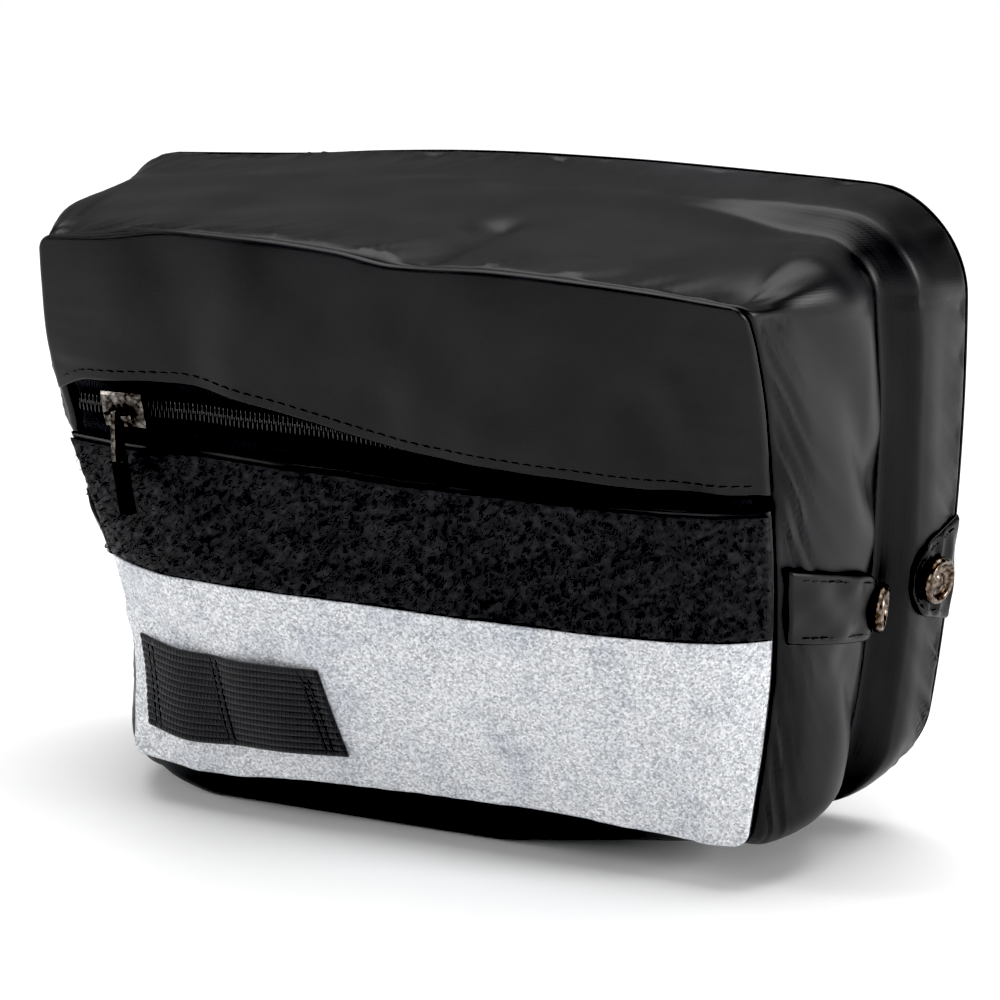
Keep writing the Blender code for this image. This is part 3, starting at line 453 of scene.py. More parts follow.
rows = crowded(np.linspace(0, 1, BACK_ROWS + 1), 0.75)
wide = half_width(0.5, 1)
ends = []
for top, base in ((BACK_CORNERS[1], BACK_CORNERS[2]), (BACK_CORNERS[0], BACK_CORNERS[3])):
    radius = np.where(rows < 0.5, base, top)
    inside = np.clip(1 - FRONT_HEIGHT * np.minimum(rows, 1 - rows) / radius, 0, 1)
    ends.append(1 - radius / wide * (1 - np.sqrt(1 - inside**2)))
spread = panel_shares(PANEL_COLUMNS)[None, :]
limit = np.where(spread < 0, ends[0][:, None], ends[1][:, None])
across = spread * limit
height = np.repeat(rows[:, None], across.shape[1], axis=1)
x, z = place_x(across, height, 1), place_z(across, height, 1)
from_edge = np.minimum((limit - abs(across)) * wide, FRONT_HEIGHT * np.minimum(height, 1 - height))
wave = BACK_RIPPLE_RISE * ripple(x, z, BACK_RIPPLE_LENGTH, 21) * smooth(from_edge / 0.01)
lift = CLOTH + wave - edge_roll(from_edge, PANEL_ROLL)
y = back_y(across, height)
outer, inner = np.stack((x, y + lift, z), axis=-1), np.stack((x, y, z), axis=-1)
back_panel = sheet_mesh("back_panel_cloth", outer, inner, np.stack((x, z), axis=-1))
back_panel.data.materials.append(tarpaulin_black)
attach(back_panel, "root")
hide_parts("back_panel")

# The front panel above the zip is tarpaulin too. Its top and sides are turned seams, and its lower edge is
# folded under into a lip, topstitched 3 mm up, that stands open at the slider and closes over the zip.
BAND_HEIGHT, LOOP_HEIGHT, POCKET_HEM = 0.060, 0.037, 0.0015
LOOP_TOP = BAND_HEIGHT + LOOP_HEIGHT
POCKET_TOP = LOOP_TOP + POCKET_HEM
ZIP_WINDOW, ZIP_RISE = 0.0175, 0.0115
UPPER_ROWS, LIP_ROLL = 96, 0.0009
STITCH_LENGTH, STITCH_GAP, THREAD, THREAD_SIDES = 0.0024, 0.0009, 0.00042, 5
FRONT_RIPPLE_RISE, FRONT_RIPPLE_LENGTH = 0.0003, 0.028
FRONT_PUCKER_RISE, FRONT_PUCKER_REACH, FRONT_PUCKER_START = 0.0005, 0.008, 0.0015
LIP_STITCH_INSET = 0.003
THREAD_BLACK = "141416"
LipRow = namedtuple("LipRow", "across opening")
ZIP_LIP = [
    LipRow(-1.00, 0.75),
    LipRow(-0.88, 1.00),
    LipRow(-0.62, 1.02),
    LipRow(-0.36, 0.80),
    LipRow(-0.08, 0.55),
    LipRow(0.25, 0.36),
    LipRow(0.65, 0.28),
    LipRow(1.00, 0.25),
]
# Folds of the front, from one (across, height) to another, with their reach and rise in metres.
FrontFold = namedtuple("FrontFold", "from_across from_height to_across to_height reach rise")
FRONT_FOLDS = [
    FrontFold(-0.72, 0.92, -0.90, 0.72, 0.0150, 0.0020),
    FrontFold(-0.32, 0.98, -0.46, 0.80, 0.0110, 0.0018),
    FrontFold(0.08, 0.97, -0.02, 0.78, 0.0090, -0.0018),
    FrontFold(0.96, 0.92, 0.88, 0.62, 0.0070, 0.0018),
    FrontFold(-1.00, 0.30, -0.70, 0.22, 0.0110, -0.0022),
    FrontFold(0.30, 0.70, 0.74, 0.62, 0.0120, 0.0015),
    FrontFold(0.70, 0.80, 0.84, 0.64, 0.0060, -0.0016),
    FrontFold(0.80, 0.84, 0.92, 0.66, 0.0050, 0.0016),
    FrontFold(0.78, 0.66, 0.96, 0.645, 0.0035, -0.0012),
    FrontFold(-0.62, 0.94, -0.56, 0.76, 0.0080, -0.0012),
]


def front_folds(across, height):
    """How far the folds and ripples of the front stand out, as a length."""
    half = FRONT_TOP_WIDTH / 2
    total = np.zeros(np.broadcast(across, height).shape)
    for fold in FRONT_FOLDS:
        away = near_line(across * half, height * FRONT_HEIGHT, fold.from_across * half,
                         fold.from_height * FRONT_HEIGHT, fold.to_across * half, fold.to_height * FRONT_HEIGHT)
        total += fold.rise * np.exp(-((away / fold.reach) ** 2))
    total += FRONT_RIPPLE_RISE * ripple(across * half, height * FRONT_HEIGHT, FRONT_RIPPLE_LENGTH, 31)
    from_side = (1 - abs(across)) * half
    pucker = np.exp(-from_side / FRONT_PUCKER_REACH) * (1 - np.exp(-from_side / FRONT_PUCKER_START))
    total += FRONT_PUCKER_RISE * pucker * ripple(across * 0.02, height * FRONT_HEIGHT, PUCKER_LENGTH, 37)
    return total * np.clip(arc(height), 0, 1) ** 0.5 * (1 - abs(across) ** 8)


def edge_share(height):
    """How far across the front reaches at this height, which is less than 1 in its rounded corners."""
    tall = FRONT_CORNER / FRONT_HEIGHT
    inside = np.clip(abs(height - 0.5) - (0.5 - tall), 0, tall) / tall
    across_radius = FRONT_CORNER / half_width(0.5, 0)
    return 1 - across_radius + across_radius * np.sqrt(np.clip(1 - inside**2, 0, 1))


def front_points(across, height, lift):
    """Points on the front panel's outer face, raised by a lift."""
    x, z = place_x(across, height, 0), place_z(across, height, 0)
    return np.stack((x, front_y(across, height) - front_folds(across, height) - lift, z), axis=-1)


def front_sheet(name, across, height, limit, low, high, lift, thickness, rolls, extra=0.0):
    """A sheet on the front. lift is its outer face over the panel's outer face; rolls are the radii of its
    turned side, top and base edges."""
    from_side = (limit - abs(across)) * half_width(height, 0)
    fall = edge_roll(from_side, rolls[0])
    fall = np.maximum(fall, edge_roll((high - height) * FRONT_HEIGHT, rolls[1]))
    fall = np.maximum(fall, edge_roll((height - low) * FRONT_HEIGHT, rolls[2]))
    outer = front_points(across, height, lift + extra - fall)
    inner = front_points(across, height, lift - thickness)
    return sheet_mesh(name, outer, inner, outer[..., [0, 2]])


def close_tube(faces, start, rings, sides):
    """Adds the faces of a closed tube whose points run ring by ring from start."""
    for i in range(rings - 1):
        for turn in range(sides):
            a, b = start + i * sides + turn, start + i * sides + (turn + 1) % sides
            faces.append((a, b, b + sides, a + sides))
    faces.append(tuple(start + turn for turn in reversed(range(sides))))
    faces.append(tuple(start + (rings - 1) * sides + turn for turn in range(sides)))


def thread_stitches(name, centres, directions, outwards, length=STITCH_LENGTH):
    """A row of stitches: short sunk-ended lengths of thread along the given points, joined in one mesh."""
    shape = [(-0.5, -0.2), (-0.3, 0.35), (0.0, 0.5), (0.3, 0.35), (0.5, -0.2)]
    points, faces = [], []
    for centre, along, out in zip(centres, directions, outwards):
        side = np.cross(along, out)
        start = len(points)
        for share, rise in shape:
            middle = centre + along * length * share + out * THREAD * rise
            for turn in range(THREAD_SIDES):
                bend = 2 * math.pi * turn / THREAD_SIDES
                points.append(middle + (side * math.cos(bend) + out * math.sin(bend)) * THREAD / 2)
        close_tube(faces, start, len(shape), THREAD_SIDES)
    mesh = bpy.data.meshes.new(name)
    mesh.from_pydata([tuple(p) for p in points], [], faces)
    return place_mesh(name, mesh)


def path_run(points):
    """How far along a path each of its points lies."""
    return np.concatenate(([0], np.cumsum(np.linalg.norm(np.diff(points, axis=0), axis=1))))


def read_path(points, run, places):
    """The points at these distances along a path."""
    return np.stack([np.interp(places, run, points[:, i]) for i in range(3)], axis=-1)


def stitch_path(points, outs, pitch=STITCH_LENGTH + STITCH_GAP):
    """Even stitches along a line of points: their centres, directions and outward directions."""
    run = path_run(points)
    places = np.arange(pitch, run[-1] - pitch / 2, pitch)
    centres = read_path(points, run, places)
    along = read_path(points, run, places + pitch / 4) - centres
    out = read_path(outs, run, places)
    return centres, along / np.linalg.norm(along, axis=1)[:, None], out / np.linalg.norm(out, axis=1)[:, None]


# Polyester thread, three-ply and bonded: black with a dull twist that catches a thin line of light.
def bonded_thread():
    material, shader = new_material("bonded_polyester_thread", Base_Color=colour(THREAD_BLACK), Roughness=0.5,
                                    IOR=1.53, Specular_IOR_Level=0.4)
    place = add_node(material, "ShaderNodeTexCoord")
    twist = add_node(material, "ShaderNodeTexWave", [("Vector", place, "Object")], wave_type="BANDS",
                     bands_direction="DIAGONAL", Scale=ONE_BAND / (THREAD * 0.8))
    bump = add_node(material, "ShaderNodeBump", [("Height", twist, "Fac")], Strength=0.5, Distance=0.0001)
    wire(material, bump, "Normal", shader, "Normal")
    return material


thread_black = bonded_thread()
share = crowded(np.linspace(0, 1, UPPER_ROWS + 1)[:, None], 0.5)
spread = panel_shares(PANEL_COLUMNS)[None, :]
low = POCKET_TOP / FRONT_HEIGHT
opening = ZIP_WINDOW * read_table(ZIP_LIP, "across", "opening", spread) / FRONT_HEIGHT
height = lerp(low, 1, share) + opening * (1 - share) ** 2
limit = edge_share(height)
upper = front_sheet("front_upper_cloth", spread * limit, height, limit, low + opening, 1.0, 0.0, CLOTH,
                    (PANEL_ROLL, PANEL_ROLL, LIP_ROLL))
upper.data.materials.append(tarpaulin_black)
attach(upper, "root")
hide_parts("front_upper_panel")
spread = np.linspace(-0.985, 0.985, 240)
opening = ZIP_WINDOW * read_table(ZIP_LIP, "across", "opening", spread) / FRONT_HEIGHT
line = front_points(spread, low + opening + LIP_STITCH_INSET / FRONT_HEIGHT, 0.0)
outs = np.tile((0.0, -1.0, 0.0), (len(line), 1))
lip_stitches = thread_stitches("lip_stitches", *stitch_path(line, outs))
lip_stitches.data.materials.append(thread_black)
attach(lip_stitches, "root")

# The lower front panel is the tarpaulin that carries the loop tape and the reflective band. Only its
# folded top hem shows, just over the loop tape.
LOWER_ROWS, LOWER_COLUMNS, HEM_ROLL = 60, 90, 0.0006


def front_grid(height, columns):
    """A grid over the front at these heights: across, height, and how far across the front's edge is."""
    limit = edge_share(height)
    across = panel_shares(columns)[None, :] * limit
    return across, np.broadcast_to(height, across.shape), limit


high = POCKET_TOP / FRONT_HEIGHT
across, height, limit = front_grid(np.linspace(0, high, LOWER_ROWS + 1)[:, None], LOWER_COLUMNS)
lower = front_sheet("front_lower_cloth", across, height, limit, 0, high, 0.0, CLOTH,
                    (PANEL_ROLL / 2, HEM_ROLL, PANEL_ROLL / 2))
lower.data.materials.append(tarpaulin_black)
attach(lower, "root")
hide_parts("front_lower_panel")

# The loop tape is the soft half of hook-and-loop: a knitted nylon ground with thousands of brushed loops,
# sewn flat across the whole front. A bare seam of ground shows at its edges.
LOOP_GROUND, LOOP_ROWS, LOOP_ROLLS = 0.0010, 40, (0.0007, 0.0005, 0.0005)
LOOP_COUNT, LOOP_WIRE, LOOP_RISE, LOOP_SPAN, LOOP_LEAN = 5200, 0.00011, 0.0013, (0.0005, 0.0013), 0.45
LOOP_LENGTHS, LOOP_SIDES, BARE_EDGE = 6, 3, 0.003
LOOP_BLACK, LOOP_GLINT = "08080a", "26262a"
low, high = BAND_HEIGHT / FRONT_HEIGHT, LOOP_TOP / FRONT_HEIGHT
across, height, limit = front_grid(np.linspace(low, high, LOOP_ROWS + 1)[:, None], PANEL_COLUMNS)
knit = 0.0002 * ripple(across * 0.1, height * FRONT_HEIGHT, 0.0022, 41)
loop_ground = front_sheet("loop_tape_ground", across, height, limit, low, high, GAP + LOOP_GROUND, LOOP_GROUND,
                          LOOP_ROLLS, knit)


# Nylon loop pile: dull black, with the odd filament turned just right to flash a bright speck.
def loop_pile():
    material, shader = new_material("brushed_nylon_loop_pile", Roughness=0.55, IOR=1.53, Specular_IOR_Level=0.3)
    place = add_node(material, "ShaderNodeTexCoord")
    spots = add_node(material, "ShaderNodeTexNoise", [("Vector", place, "Object")], Scale=420.0, Detail=2.0)
    shade = add_node(material, "ShaderNodeValToRGB", [("Fac", spots, "Fac")],
                     [(0.45, LOOP_BLACK), (0.75, LOOP_GLINT)])
    wire(material, shade, "Color", shader, "Base Color")
    fuzz = add_node(material, "ShaderNodeTexNoise", [("Vector", place, "Object")], Scale=3600.0, Detail=3.0)
    bump = add_node(material, "ShaderNodeBump", [("Height", fuzz, "Fac")], Strength=0.8, Distance=0.0002)
    wire(material, bump, "Normal", shader, "Normal")
    return material


pile_black = loop_pile()
loop_ground.data.materials.append(pile_black)
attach(loop_ground, "root")
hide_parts("loop_strip")


def pile_mesh(name):
    """Small bent loops all over the tape, each a three-sided wire of six lengths, joined in one mesh."""
    draw = np.random.default_rng(51)
    across = draw.uniform(-0.995, 0.995, LOOP_COUNT)
    height = draw.uniform(low + BARE_EDGE, high - BARE_EDGE, LOOP_COUNT)
    root = front_points(across, height, GAP + LOOP_GROUND - 0.0001)
    step = 0.004
    right = front_points(across + step, height, 0) - front_points(across - step, height, 0)
    right /= np.linalg.norm(right, axis=1)[:, None]
    up = front_points(across, height + step, 0) - front_points(across, height - step, 0)
    up /= np.linalg.norm(up, axis=1)[:, None]
    out = np.cross(right, up)
    heading = draw.uniform(0, 2 * math.pi, LOOP_COUNT)[:, None]
    along = right * np.cos(heading) + up * np.sin(heading)
    lean = draw.normal(0, LOOP_LEAN, (LOOP_COUNT, 1))
    side = np.cross(along, out)
    tip = out * np.cos(lean) + side * np.sin(lean)
    span = draw.uniform(*LOOP_SPAN, (LOOP_COUNT, 1))
    rise = LOOP_RISE * draw.uniform(0.5, 1.05, (LOOP_COUNT, 1))
    lengths, sides = LOOP_LENGTHS, LOOP_SIDES
    rings = []
    for i in range(lengths + 1):
        turn = math.pi * i / lengths
        middle = root - along * span / 2 * math.cos(turn) + tip * rise * math.sin(turn)
        face = -along * math.cos(turn) + tip * math.sin(turn)
        ring = [middle + (face * math.cos(b) + np.cross(along, tip) * math.sin(b)) * LOOP_WIRE / 2
                for b in (2 * math.pi * j / sides for j in range(sides))]
        rings.append(np.stack(ring, axis=1))
    points = np.stack(rings, axis=1).reshape(-1, 3)
    start = np.arange(LOOP_COUNT)[:, None, None] * (lengths + 1) * sides
    i, j = np.meshgrid(np.arange(lengths), np.arange(sides), indexing="ij")
    a, b = i * sides + j, i * sides + (j + 1) % sides
    faces = (start[..., None] + np.stack((a, b, b + sides, a + sides), axis=-1)[None]).reshape(-1, 4)
    mesh = bpy.data.meshes.new(name)
    mesh.from_pydata(points.tolist(), [], faces.tolist())
    return place_mesh(name, mesh)


pile = pile_mesh("loop_tape_pile")
pile.data.materials.append(pile_black)
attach(pile, "root")

# The reflective band is polyester cloth coated with glass beads, light grey by day. It is sewn in at the
# sides and base, and its top edge is tucked under the loop tape, so it creases where the bag buckles.
BAND_THICKNESS, BAND_ROWS, BAND_ROLLS = 0.0011, 80, (0.0009, 0.0002, 0.0009)
BAND_GREY, BAND_DARK, BAND_LIGHT, BAND_BLUE = "c6c8cc", "8e9196", "f4f5f7", "b9c2d2"
BEAD_CLUSTER_MM = 0.55
high = (BAND_HEIGHT - GAP) / FRONT_HEIGHT
rows = high * crowded(np.linspace(0, 1, BAND_ROWS + 1)[:, None], 0.4)
across, height, limit = front_grid(rows, PANEL_COLUMNS)
half, metres = FRONT_BASE_WIDTH / 2, height * FRONT_HEIGHT
# Two creases run down from the band's left edge: each from (0, from_rise) to (to_side, to_rise), in metres.
Crease = namedtuple("Crease", "from_rise to_side to_rise reach depth")
creases = 0.0
for crease in (Crease(0.046, 0.020, 0.040, 0.0022, 0.0009), Crease(0.040, 0.034, 0.033, 0.004, -0.0007)):
    away = near_line((across + 1) * half, metres, 0, crease.from_rise, crease.to_side, crease.to_rise)
    creases = creases + crease.depth * np.exp(-((away / crease.reach) ** 2))
waves = 0.00022 * ripple(across * half, metres, 0.016, 61)
waves += 0.0003 * ripple(across * half, height * 0.02, 0.010, 67) * np.exp(-metres / 0.006)
band = front_sheet("reflective_band_cloth", across, height, limit, 0, high, GAP + BAND_THICKNESS, BAND_THICKNESS,
                   BAND_ROLLS, waves - creases)


# Glass-bead retroreflective cloth: a pale matt grey that sparkles grain by grain, with faint bluish
# patches. The beads are far too small to show, so they are drawn as clusters half a millimetre across.
def glass_bead_cloth():
    material, shader = new_material("glass_bead_reflective_cloth", Roughness=0.55, IOR=1.5,
                                    Specular_IOR_Level=0.4)
    place = add_node(material, "ShaderNodeTexCoord")
    solid = add_node(material, "ShaderNodeMapping", [("Vector", place, "Object")], Scale=IN_MM)
    beads = add_node(material, "ShaderNodeTexVoronoi", [("Vector", solid, "Vector")],
                     Scale=1 / BEAD_CLUSTER_MM)
    grain = add_node(material, "ShaderNodeTexNoise", [("Vector", solid, "Vector")], Scale=1.1, Detail=4.0)
    value = add_node(material, "ShaderNodeSeparateColor", [("Color", beads, "Color")])
    mixed = add_node(material, "ShaderNodeMath", [(0, value, "Red"), (1, grain, "Fac")], operation="ADD")
    halved = add_node(material, "ShaderNodeMath", [(0, mixed, "Value")], operation="MULTIPLY")
    halved.inputs[1].default_value = 0.5
    shade = add_node(material, "ShaderNodeValToRGB", [("Fac", halved, "Value")],
                     [(0.18, BAND_DARK), (0.86, BAND_LIGHT), (0.48, BAND_GREY)])
    patch = add_node(material, "ShaderNodeTexNoise", [("Vector", solid, "Vector")], Scale=0.06, Detail=3.0)
    tint = add_node(material, "ShaderNodeMapRange", [("Value", patch, "Fac")], From_Min=0.5, From_Max=0.75,
                    To_Max=0.45)
    blue = add_node(material, "ShaderNodeMix", [("Factor", tint, "Result")], data_type="RGBA",
                    blend_type="MULTIPLY")
    wire(material, shade, "Color", blue, 6)
    blue.inputs[7].default_value = colour(BAND_BLUE)
    wire(material, blue, 2, shader, "Base Color")
    rough = add_node(material, "ShaderNodeMapRange", [("Value", value, "Green")], To_Min=0.32, To_Max=0.75)
    wire(material, rough, "Result", shader, "Roughness")
    bump = add_node(material, "ShaderNodeBump", [("Height", beads, "Distance")], Strength=0.35, Distance=0.0001)
    wire(material, bump, "Normal", shader, "Normal")
    return material


bead_grey = glass_bead_cloth()
band.data.materials.append(bead_grey)
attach(band, "root")
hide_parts("reflective_band")

# The light keeper is a patch of black ribbed webbing for a clip-on light, sewn to the band at both ends and
# in the middle. Its fourteen ribs run along it, and its cut ends are sealed and slightly frayed.
KEEPER_WIDTH, KEEPER_LENGTH, KEEPER_THICKNESS, KEEPER_ARCH = 0.027, 0.061, 0.0016, 0.0016
KEEPER_LEFT, KEEPER_BOTTOM, KEEPER_SKEW, KEEPER_STITCH, KEEPER_MIDDLE = 0.0065, 0.0105, 0.004, 0.004, 0.45
RIBS, RIB_RISE = 14, 0.00055
WEBBING_BLACK, WEBBING_WEAR_AND_SHEEN = "0c0c0d", "333338"
KEEPER_STITCH_ROWS = (0.055, 0.085, 0.435, 0.465, 0.915, 0.945)
KEEPER_STITCH_PITCH, KEEPER_STITCH_LENGTH = 0.0022, 0.0017
WEFT_PITCH, WEFT_RISE, CUT_END_FALL = 0.0011, 0.00012, 0.0005
share = np.linspace(0, 1, 181)[None, :]
rise = np.linspace(0, 1, RIBS * 10 + 1)[:, None]


def keeper_points(share, rise, thick):
    """The keeper's face at a share along and a share up, at a thickness over its underside."""
    height = (KEEPER_BOTTOM + KEEPER_WIDTH * rise) / FRONT_HEIGHT
    along = KEEPER_LENGTH * share + KEEPER_SKEW * (1 - rise) * share
    across = (KEEPER_LEFT + along) / half_width(height, 0) - 1
    part = np.where(share < KEEPER_MIDDLE, share / KEEPER_MIDDLE, (share - KEEPER_MIDDLE) / (1 - KEEPER_MIDDLE))
    stitched = KEEPER_STITCH / KEEPER_LENGTH
    clear = np.clip((part - stitched) / (1 - 2 * stitched), 0, 1)
    lift = BAND_THICKNESS + 2 * GAP + KEEPER_ARCH * np.sin(math.pi * clear) + thick
    return front_points(across, height + 0 * share, lift)


ribs = abs(np.sin(math.pi * RIBS * rise)) ** 0.7
sunk = sum(np.exp(-(((share - row) / 0.008) ** 2)) for row in KEEPER_STITCH_ROWS)
weft = WEFT_RISE * np.sin(2 * math.pi * share * KEEPER_LENGTH / WEFT_PITCH + math.pi * np.floor(RIBS * rise))
face = KEEPER_THICKNESS - RIB_RISE + RIB_RISE * ribs * (1 - 0.6 * np.clip(sunk, 0, 1)) + weft * ribs
ends = np.clip(np.minimum(share, 1 - share) / 0.012, 0, 1)
face = face - CUT_END_FALL * (1 - ends) ** 2
outer, inner = keeper_points(share, rise, face), keeper_points(share, rise, 0 * face)
plane = np.stack(np.broadcast_arrays(share * KEEPER_LENGTH, rise * KEEPER_WIDTH), axis=-1)
keeper = sheet_mesh("light_keeper_webbing", outer, inner, plane)


# Woven polyester webbing, corded: raised ribs with a fine cross weave, black, and greyed on the raised weft,
# partly as wear and partly as a painted highlight on its crests.
def corded_webbing():
    material, shader = new_material("corded_polyester_webbing", Roughness=0.68, IOR=1.53, Specular_IOR_Level=0.35,
                                    Sheen_Weight=0.15, Sheen_Roughness=0.5)
    place = add_node(material, "ShaderNodeTexCoord")
    flat = add_node(material, "ShaderNodeMapping", [("Vector", place, "UV")], Scale=IN_MM)
    weft = add_node(material, "ShaderNodeTexWave", [("Vector", flat, "Vector")], wave_type="BANDS",
                    bands_direction="X", Scale=ONE_BAND / 0.55, Distortion=0.8)
    fuzz = add_node(material, "ShaderNodeTexNoise", [("Vector", flat, "Vector")], Scale=2.2, Detail=4.0)
    both = add_node(material, "ShaderNodeMath", [(0, weft, "Fac"), (1, fuzz, "Fac")], operation="MULTIPLY")
    # The lighter grey follows the weave's raised crests: wear there, and a painted highlight too.
    shade = add_node(material, "ShaderNodeValToRGB", [("Fac", both, "Value")],
                     [(0.15, WEBBING_BLACK), (0.75, WEBBING_WEAR_AND_SHEEN)])
    wire(material, shade, "Color", shader, "Base Color")
    bump = add_node(material, "ShaderNodeBump", [("Height", both, "Value")], Strength=0.6, Distance=0.00025)
    wire(material, bump, "Normal", shader, "Normal")
    return material


webbing_black = corded_webbing()
keeper.data.materials.append(webbing_black)
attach(keeper, "root")
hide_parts("light_keeper")
rise = np.linspace(0.02, 0.98, 80)
lines = []
for row in KEEPER_STITCH_ROWS:
    lines.append(stitch_path(keeper_points(np.full(80, row), rise, KEEPER_THICKNESS - 0.0003 + 0 * rise),
                             np.tile((0.0, -1.0, 0.0), (80, 1)), KEEPER_STITCH_PITCH))
keeper_stitches = thread_stitches("keeper_stitches", *(np.concatenate(part) for part in zip(*lines)),
                                  length=KEEPER_STITCH_LENGTH)
keeper_stitches.data.materials.append(thread_black)
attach(keeper_stitches, "root")

# The zip is a nylon coil zip: two woven tapes sewn behind the lips and two rows of coils closed along the
# middle. It lies in the recess between the upper lip and the pocket's hem.
ZIP_CHAIN_WIDTH, ZIP_CHAIN_THICKNESS, ZIP_TAPE_WIDTH, TAPE_WEAVE = 0.0062, 0.0018, 0.013, 0.0006
ZIP_TAPE_SPLIT, ZIP_END_CLEARANCE, COIL_PITCH, COIL_WIRE = 0.001, 0.0025, 0.0014, 0.00072
ZIP_LINE, COIL_SIDES = LOOP_TOP + ZIP_RISE, 6
TAPE_BLACK, TAPE_GREY, COIL_BLACK = "0b0b0c", "202023", "101013"


def zip_points(rises, behind, columns=160):
    """Points along the zip at distances over its line; behind is how far they lie under the front's face."""
    height = (ZIP_LINE + rises[:, None]) / FRONT_HEIGHT
    reach = 1 - (CLOTH + ZIP_END_CLEARANCE) / half_width(height, 0)
    return front_points(np.linspace(-1, 1, columns)[None, :] * reach, height + 0 * reach, -behind[:, None])


# Woven polyester tape: a close herringbone, matt black.
def woven_tape():
    material, shader = new_material("woven_polyester_tape", Roughness=0.8, IOR=1.53, Specular_IOR_Level=0.25)
    place = add_node(material, "ShaderNodeTexCoord")
    flat = add_node(material, "ShaderNodeMapping", [("Vector", place, "UV")], Scale=IN_MM,
                    Rotation=(0, 0, math.radians(35)))
    twill = add_node(material, "ShaderNodeTexWave", [("Vector", flat, "Vector")], wave_type="BANDS",
                     bands_direction="X", Scale=ONE_BAND / 0.5, Distortion=1.0)
    shade = add_node(material, "ShaderNodeValToRGB", [("Fac", twill, "Fac")], [(0, TAPE_BLACK), (1, TAPE_GREY)])
    wire(material, shade, "Color", shader, "Base Color")
    bump = add_node(material, "ShaderNodeBump", [("Height", twill, "Fac")], Strength=0.6, Distance=0.0002)
    wire(material, bump, "Normal", shader, "Normal")
    return material


tape_black = woven_tape()
for name, side in (("zip_tape_upper", 1), ("zip_tape_lower", -1)):
    rises = np.linspace(ZIP_TAPE_SPLIT / 2, ZIP_TAPE_WIDTH, 14)
    sewn = CLOTH + SEAM_GAP
    share = smooth((rises - ZIP_CHAIN_WIDTH / 2) / (ZIP_TAPE_WIDTH / 3))
    behind = lerp(sewn + ZIP_CHAIN_THICKNESS + GAP, sewn, share)
    outer = zip_points(side * rises, behind)
    inner = zip_points(side * rises, behind + TAPE_WEAVE)
    tape = sheet_mesh(f"{name}_weave", outer, inner, outer[..., [0, 2]])
    tape.data.materials.append(tape_black)
    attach(tape, "root")
    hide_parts(name)


def coil_mesh(name):
    """Two rows of closed coil turns. Each turn is a bent wire that hooks over the zip's line."""
    sunk = CLOTH + GAP
    reach = 1 - (CLOTH + ZIP_END_CLEARANCE) / half_width(ZIP_LINE / FRONT_HEIGHT, 0)
    line = front_points(np.linspace(-reach, reach, 400), np.full(400, ZIP_LINE / FRONT_HEIGHT), -sunk)
    run = path_run(line)
    places = np.arange(COIL_PITCH, run[-1] - COIL_PITCH, COIL_PITCH / 2)
    shape = [(1.0, 0.75), (0.8, 0.35), (0.3, 0.25), (-0.15, 0.3), (-0.3, 0.65)]
    points, faces = [], []
    for number, place in enumerate(places):
        centre = read_path(line, run, place)
        side = 1 if number % 2 else -1
        start = len(points)
        for up, deep in shape:
            middle = centre + np.array((0, deep * ZIP_CHAIN_THICKNESS, side * up * ZIP_CHAIN_WIDTH * 0.46))
            for turn in range(COIL_SIDES):
                bend = 2 * math.pi * turn / COIL_SIDES
                points.append(middle + np.array((math.cos(bend), math.sin(bend), 0)) * COIL_WIRE / 2)
        close_tube(faces, start, len(shape), COIL_SIDES)
    mesh = bpy.data.meshes.new(name)
    mesh.from_pydata([tuple(p) for p in points], [], faces)
    return place_mesh(name, mesh)


# Extruded nylon monofilament, wound into a coil: smooth black plastic with small sharp glints.
def nylon_coil():
    material, shader = new_material("nylon_monofilament_coil", Base_Color=colour(COIL_BLACK), Roughness=0.34,
                                    IOR=1.53, Specular_IOR_Level=0.5)
    place = add_node(material, "ShaderNodeTexCoord")
    grain = add_node(material, "ShaderNodeTexNoise", [("Vector", place, "Object")], Scale=1800.0, Detail=2.0)
    bump = add_node(material, "ShaderNodeBump", [("Height", grain, "Fac")], Strength=0.2, Distance=0.0001)
    wire(material, bump, "Normal", shader, "Normal")
    return material


coils = coil_mesh("zip_coils")
coils.data.materials.append(nylon_coil())
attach(coils, "root")
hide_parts("zip_chain")


# The slider, its pull and the snaps are die-cast zinc, plated gunmetal: dark, polished on the high spots
# and duller in the hollows.
GUNMETAL, GUNMETAL_WORN, CAP_METAL, CAP_WORN = "2e2b29", "8f8a84", "3a2f26", "a3958a"


# Gunmetal plate over a die-cast or stamped body: a dark mirror, mottled where it has rubbed.
def gunmetal_plate(name, base, worn, rough):
    material, shader = new_material(name, Metallic=1.0, Roughness=rough)
    place = add_node(material, "ShaderNodeTexCoord")
    marks = add_node(material, "ShaderNodeTexNoise", [("Vector", place, "Object")], Scale=700.0, Detail=5.0)
    shade = add_node(material, "ShaderNodeValToRGB", [("Fac", marks, "Fac")], [(0.4, base), (0.8, worn)])
    wire(material, shade, "Color", shader, "Base Color")
    gloss = add_node(material, "ShaderNodeMapRange", [("Value", marks, "Fac")], To_Min=rough - 0.08,
                     To_Max=rough + 0.12)
    wire(material, gloss, "Result", shader, "Roughness")
    bump = add_node(material, "ShaderNodeBump", [("Height", marks, "Fac")], Strength=0.12, Distance=0.0001)
    wire(material, bump, "Normal", shader, "Normal")
    return material


gunmetal = gunmetal_plate("gunmetal_plated_zinc", GUNMETAL, GUNMETAL_WORN, 0.3)


